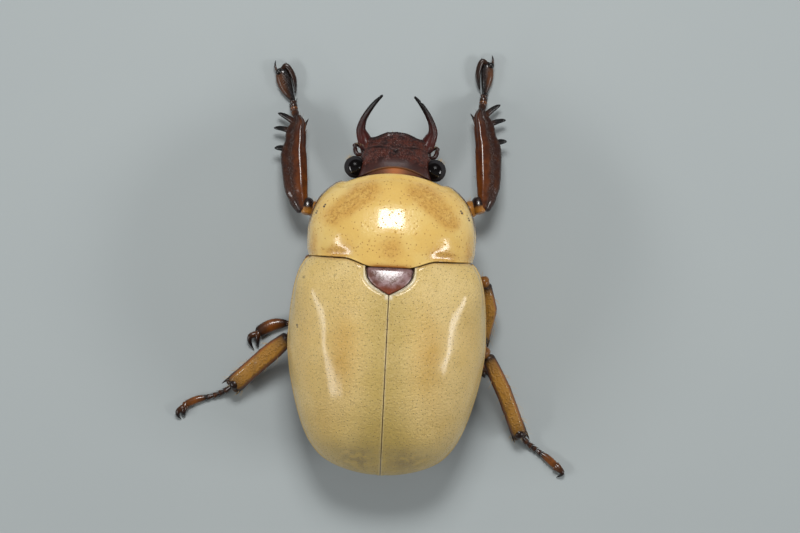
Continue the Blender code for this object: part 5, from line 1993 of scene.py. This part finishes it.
        def paint(share: np.ndarray, turn: np.ndarray) -> dict[str, np.ndarray]:
            """Dark edges, a warm inner flank near the base, and a matt outer face."""
            top = np.sin(turn) > 0
            outer = top * stepped(turn, 1.6, 1.2)
            flank = bell(turn - math.radians(150), 0.45) * stepped(share, 0.55, 0.15)
            edge = stepped(np.cos(turn), 0.88, 1.0) * stepped(share, 0.1, 0.4)
            return {
                "shade": edge * 0.7 + 0.35 * outer * stepped(share, 0.97, 0.8),
                "warm": 0.6 * flank + 0.06 * bell(turn - 1.9, 0.25) * top - 0.1 * outer,
                "dull": top * stepped(turn, 1.75, 1.3) * (0.75 - 0.45 * bell(turn - 0.9, 0.28)),
            }

        skin = self.skin("tibia")
        Limb(rows, sides=64, steps=12, relief=relief, hair=hair, paint=paint, tilt=0.22).add_to(skin)
        for root_share, root_out, tip_share, tip_out, thick in self.teeth:
            root, tip = at(root_share, root_out), at(tip_share, tip_out)
            root[2] -= self.tooth_droop * 0.7
            tip[2] -= self.tooth_droop
            thorn(skin, root, tip, thick, along * 0.1, 0.4, 0.35, FINGER)
        root_share, root_out, tip_share, tip_out, thick = self.digging_spur
        thorn(skin, at(root_share, root_out), at(tip_share, tip_out), thick, out * 0.03, 0.4, 0.5)
        fringe = (22.0, 0.42, 0.024, self.lie(knee, ankle, 1.1), Finish.DARK_HAIR, Bristles.seed, 0.15)
        self.dress(skin, "tibia", (Finish.FRONT_LEG, "front_leg"), wardrobe, *fringe)

    def build_walking_tibia(self, wardrobe: Wardrobe) -> None:
        """A middle or hind shin: a keeled rod with a slanted ridge, and spurs round the foot's root."""
        knee, shin, ankle = (self.places[name] for name in ("knee", "shin", "ankle"))
        start, _ = limb_axes(knee, shin)
        along, out = limb_axes(shin, ankle)
        width = self.pose.shin_width
        steps = (
            knee + start * 0.36, knee + start * 0.8, mixed(knee, shin, 0.6), shin,
            mixed(shin, ankle, 0.6), mixed(shin, ankle, 0.92), ankle,
        )
        rows = [(*place, width * wide, *rest) for place, (wide, *rest) in zip(steps, self.shin_sizes)]

        def relief(share: np.ndarray, turn: np.ndarray) -> np.ndarray:
            """Two long ridges, a slanted one past the middle, and a rim round the end."""
            ridges = sum(0.05 * bell(turn - math.radians(angle), 0.16) for angle in (55, 125))
            ridges = ridges * stepped(share, 0.1, 0.3) * stepped(share, 0.95, 0.8)
            slanted = 0.025 * bell(share - 0.52 - 0.06 * np.cos(turn), 0.018) * (np.sin(turn) > 0)
            return ridges + slanted + 0.04 * bell(share - 0.9, 0.02)

        def hair(share: np.ndarray, turn: np.ndarray) -> np.ndarray:
            """Hairs on both edges, thick at the end."""
            edges = bell(np.abs(np.cos(turn)) - 1, 0.12)
            along_edges = edges * (0.2 * stepped(share, 0.25, 0.4) + bell(share - 0.9, 0.04))
            return along_edges + 0.3 * bell(share - 0.94, 0.025)

        def paint(share: np.ndarray, turn: np.ndarray) -> dict[str, np.ndarray]:
            """Dark edges, and dark lines in the slanted ridge and the end's rim."""
            side, top = np.abs(np.cos(turn)), np.sin(turn) > 0
            line = 0.25 * bell(share - 0.55 - 0.06 * np.cos(turn), 0.012) * top
            return {
                "shade": np.clip(stepped(side, 0.76, 0.97) * 0.65 + line + stepped(share, 0.89, 0.94), 0, 1),
                "warm": stepped(side, 0.5, 0.85) * 0.9,
                "dull": 0.8 * stepped(side, 0.85, 0.5) * top * stepped(share, 0.92, 0.86),
            }

        skin = self.skin("tibia")
        Limb(rows, sides=44, steps=10, relief=relief, hair=hair, paint=paint).add_to(skin)
        for aside, reach, thick in self.spurs:
            root = ankle + out * aside * width * 0.8 - along * 0.15
            tip = ankle + out * aside * width * 1.1 + along * reach
            thorn(skin, root, tip, thick, out * aside * 0.1, 0.85, 0.1)
        for angle in self.thorn_angles:
            edge = out * math.sin(angle) * width * 0.48 + np.array((0, 0, math.cos(angle) * 0.42))
            root, tip = ankle + edge - along * 0.12, ankle + edge * 1.08 + along * 0.22
            thorn(skin, root, tip, 0.12, edge * 0, 0.7, 0.1)
        ball(skin, ankle + along * 0.02 + np.array((0, 0, 0.24)), (0.4, 0.4, 0.38), shade=1.0)
        tip = ankle + along * 0.16
        lobe = [(*(tip + out * width * aside), 0.55, 0.6, 0.9, 0.1) for aside in (-0.34, 0.0, 0.34)]
        Limb(lobe, sides=24, steps=6, rounded=(0.5, 0.5)).add_to(skin)
        looks = (Finish.TAN_LEG, "tan_leg")
        self.dress(skin, "tibia", looks, wardrobe, 26.0, 0.6, 0.03, self.lie(knee, ankle, 1.0))

    def build_tarsus(self, wardrobe: Wardrobe) -> None:
        """The foot: four short beads, a long claw joint, and two claws."""
        ankle = self.places["ankle"]
        first, fourth, fifth, end = (np.array(place, float) for place in self.pose.toes)
        digging = self.digging
        start = ankle + limb_axes(ankle, first)[0] * self.foot_clear[not digging]
        edges = [start, first, mixed(first, fourth, 0.5), fourth, fifth]
        skin = self.skin("tarsus")
        for bead, (near, far) in enumerate(zip(edges, edges[1:])):
            self.add_bead(skin, near, far, bead)
        along, out = limb_axes(fifth, end)
        broad, tall = self.pose.claw_joint
        tall = min(tall, 2 * end[2])
        slim = 0.0 if digging else 1.0
        heavy = 0.35 if slim and broad > 0.8 else 0.0
        sizes = (
            (0.0, 0.34 + 0.2 * slim, 0.5, 0.9, 0.0),
            (0.12, 0.52 + 0.22 * slim, 0.7, 0.5, 0.2),
            (0.3, 0.78 + 0.14 * slim, 0.88, 0.25, 0.45),
            (0.52, 0.98, 1.0, 0.15, 0.65),
            (0.75, 1.03 - 0.05 * slim, 1.0, 0.15 + heavy, 0.65 - heavy),
            (0.92, 0.86 + 0.04 * slim, 0.88, 0.4 + heavy, 0.4 - heavy),
            (1.0, 0.6, 0.66, 0.9, 0.0),
        )
        rows = tapered(fifth, end, (broad, tall), sizes, out * self.pose.arch)

        def hair(share: np.ndarray, turn: np.ndarray) -> np.ndarray:
            """A few hairs along the joint's edges."""
            return bell(np.abs(np.cos(turn)) - 1, 0.15) * stepped(share, 0.3, 0.5)

        def paint(share: np.ndarray, turn: np.ndarray) -> dict[str, np.ndarray]:
            """A paler outer part, darker inside and along both edges."""
            inner = stepped(np.cos(turn), 0.35, -0.55)
            edges = stepped(np.abs(np.cos(turn)), 0.93, 1.0)
            return {
                "shade": 0.7 * np.maximum(inner * digging, edges),
                "warm": -(0.6 * inner + 0.15) * digging,
                "dull": 0.5 * digging * (np.sin(turn) > 0),
            }

        Limb(rows, sides=40, steps=9, hair=hair, paint=paint).add_to(skin)
        self.add_claws(skin, end, along, out)
        hairs = (6.0, 0.28, 0.018, self.lie(fifth, end, 0.9), Finish.DARK_HAIR)
        self.dress(skin, "tarsus", (Finish.FOOT, "foot"), wardrobe, *hairs)

    def add_bead(self, skin: Skin, near: np.ndarray, far: np.ndarray, bead: int) -> None:
        """Adds one short foot joint, with a thorn on each side.

        Args:
            skin: the foot's skin.
            near: where it starts.
            far: where it ends.
            bead: how many joints come before it.
        """
        along, out = limb_axes(near, far)
        size = self.bead_sizes[not self.digging] - 0.01 * bead
        amber = self.digging and bead == 1
        pale, deep = (0.8, 0.0) if amber else (0.05, 0.25)
        sizes = (
            (-0.02, 0.56, 0.6, 0.9, 0.0),
            (0.18, 0.7, 0.72, deep + 0.3, pale * 0.5),
            (0.5, 0.88, 0.9, deep + 0.2, 0.1),
            (0.76, 1.04, 1.0, deep, pale),
            (0.9, 0.98, 0.94, 0.5, 0.0),
            (1.0, 0.7, 0.7, 1.0, 0.0),
        )
        Limb(tapered(near, far, (size, size), sizes), sides=26, steps=6, rounded=(0.3, 0.3)).add_to(skin)
        for aside in (-0.4, 0.4):
            root = mixed(near, far, 0.84) + out * aside * size
            tip = root + along * 0.26 + out * aside * 0.2
            tip[2] = max(tip[2] - 0.12, 0.05)
            thorn(skin, root, tip, 0.06, out * 0, 0.6, 0.3)

    def add_claws(self, skin: Skin, end: np.ndarray, along: np.ndarray, out: np.ndarray) -> None:
        """Adds the claws and the small bristle between them.

        Args:
            skin: the foot's skin.
            end: where the claw joint ends.
            along: the way that the joint points.
            out: level across the joint.
        """
        high = np.array((0.0, 0.0, 1.0))
        if self.digging:
            thorn(skin, end - out * 0.3, end + along * 0.4 - out * 0.5, 0.09, out * 0, 0.2, 0.9)
            rows = []
            for ahead, aside, size in self.hook:
                place = end + along * ahead + out * aside + high * 0.1
                rows.append((*place, size, size, 0.75 + 0.2 * (ahead < -1.4), 0.15))
            Limb(rows, sides=22, steps=7, rounded=(0.5, 0.8)).add_to(skin)
            knob = end + out * 0.26 - along * 0.12 + high * 0.16
            ball(skin, knob, (0.24, 0.24, 0.24), rings=14, sides=20, shade=1.0)
            self.add_curved_claw(skin, end + out * 0.36 - along * 0.05, self.pose.claws[0], 0.16)
            return
        thorn(skin, end - along * 0.1, end + along * 0.36 + high * 0.1, 0.08, out * 0, 0.2, 0.9)
        for claw, aside in zip(self.pose.claws, (0.1, -0.1)):
            self.add_curved_claw(skin, end + out * aside - along * 0.1, claw, 0.46)

    def add_curved_claw(self, skin: Skin, root: np.ndarray, claw: Station, width: float) -> None:
        """Adds a claw that runs from its root by way of its bend to its tip.

        Args:
            skin: the foot's skin.
            root: where it starts.
            claw: the tip's and the bend's places, each as (out, ahead).
            width: its width at the root.
        """
        tip = np.array((*claw[:2], self.claw_tip_height), float)
        bend = np.array((*claw[2:], root[2] + 0.12), float)
        pull = 2 * bend - (root + tip) / 2
        rows = []
        for share in np.linspace(0, 1, 9):
            place = root * (1 - share) ** 2 + pull * 2 * share * (1 - share) + tip * share**2
            size = width * (1 - share**2.4) + 0.02
            rows.append((*place, size, size, mixed(0.35, 1.0, min(1.0, share * 1.4)), 0.5 * (1 - share)))
        Limb(rows, sides=16, steps=3, rounded=(0.3, 0.9)).add_to(skin)


@dataclass(frozen=True)
class SoftBox:
    """One flat studio light that aims at the beetle."""

    name: str
    place: tuple[float, float, float]
    size: tuple[float, float]
    power: float
    twist: float = 0.0
    target: tuple[float, float, float] = (0.0, -4.0, 5.0)
    shape: str = "RECTANGLE"

    def build(self) -> None:
        """Puts the light in the scene."""
        light = bpy.data.lights.new(self.name, "AREA")
        light.shape = self.shape
        light.size, light.size_y = (value * MM for value in self.size)
        light.energy = self.power
        lamp = bpy.data.objects.new(self.name, light)
        bpy.context.scene.collection.objects.link(lamp)
        lamp.location, aim = (Vector(STANCE.world(np.array(point))) for point in (self.place, self.target))
        twist = Quaternion((0, 0, 1), math.radians(self.twist))
        lamp.rotation_euler = ((aim - lamp.location).to_track_quat("-Z", "Y") @ twist).to_euler()


@dataclass
class Studio:
    """The plain pale floor, the soft lights and the camera straight above."""

    floor_half: float = 400.0
    camera_height: float = 300.0
    aim: tuple[float, float] = (-0.7, 0.07)
    turn: float = 0.0492
    lens: float = 183.8
    sensor: float = 36.0
    clip: tuple[float, float] = (0.01, 10.0)
    sky: Colour = (0.95, 0.98, 1.0)
    boxes: tuple[SoftBox, ...] = (
        SoftBox("key_left", (18.5, 95.0, 150.0), (33.0, 52.0), 0.091, 9.0, shape="ELLIPSE"),
        SoftBox("key_right", (-11.5, 95.0, 150.0), (33.0, 52.0), 0.091, -9.0, shape="ELLIPSE"),
        SoftBox("left_strip", (158.0, -56.0, 107.0), (132.0, 26.0), 0.118, 8.0),
        SoftBox("right_strip", (-165.0, -34.0, 100.0), (84.0, 30.0), 0.112, -14.0),
    )
    ambient: float = 0.14

    def build(self, wardrobe: Wardrobe) -> None:
        """Sets the stage, the lights and the camera."""
        self.build_floor(wardrobe)
        for box in self.boxes:
            box.build()
        world = bpy.data.worlds.new("studio")
        world.use_nodes = True
        sky = world.node_tree.nodes["Background"]
        sky.inputs["Color"].default_value = (*self.sky, 1.0)
        sky.inputs["Strength"].default_value = self.ambient
        bpy.context.scene.world = world
        bpy.context.scene.view_settings.view_transform = "Standard"
        self.build_camera()

    def build_floor(self, wardrobe: Wardrobe) -> None:
        """A flat floor at height 0."""
        side = np.linspace(-self.floor_half, self.floor_half, 17)
        ahead, out = np.meshgrid(side, side, indexing="ij")
        skin = Skin("studio_floor")
        skin.add(np.stack((out, ahead, np.zeros_like(out)), axis=-1), around=False, caps=(False, False))
        floor = skin.build()
        if floor.data.polygons[0].normal.z < 0:
            floor.data.flip_normals()
        floor.data.materials.append(wardrobe.material(Finish.FLOOR))

    def build_camera(self) -> None:
        """A camera straight above, a little turned, whose middle is the aim."""
        lens = bpy.data.cameras.new("overhead")
        lens.sensor_width = self.sensor
        lens.lens = self.lens
        lens.clip_start, lens.clip_end = self.clip
        camera = bpy.data.objects.new("overhead", lens)
        bpy.context.scene.collection.objects.link(camera)
        lateral, ahead = self.aim
        right = Vector((-1.0, -self.turn, 0.0)).normalized()
        back = Vector((0.0, 0.0, 1.0))
        turned = Matrix((right, back.cross(right), back)).transposed()
        place = Vector(STANCE.world(np.array((lateral, ahead, self.camera_height))))
        camera.matrix_world = Matrix.Translation(place) @ turned.to_4x4()
        bpy.context.scene.camera = camera


def main() -> None:
    """Builds the beetle from its shields to its feet, then the studio."""
    logging.basicConfig(level=logging.INFO, format="%(message)s")
    wardrobe = Wardrobe()
    Pronotum().build(wardrobe)
    Scutellum().build(wardrobe)
    Head().build(wardrobe)
    Mouth().build(wardrobe)
    Trunk().build(wardrobe)
    for side in Side:
        WingCases().build(side, wardrobe)
        Mandibles().build(side, wardrobe)
        Antennae().build(side, wardrobe)
    for pose in POSES:
        Leg(pose).build(wardrobe)
    Studio().build(wardrobe)


if __name__ == "__main__":
    main()
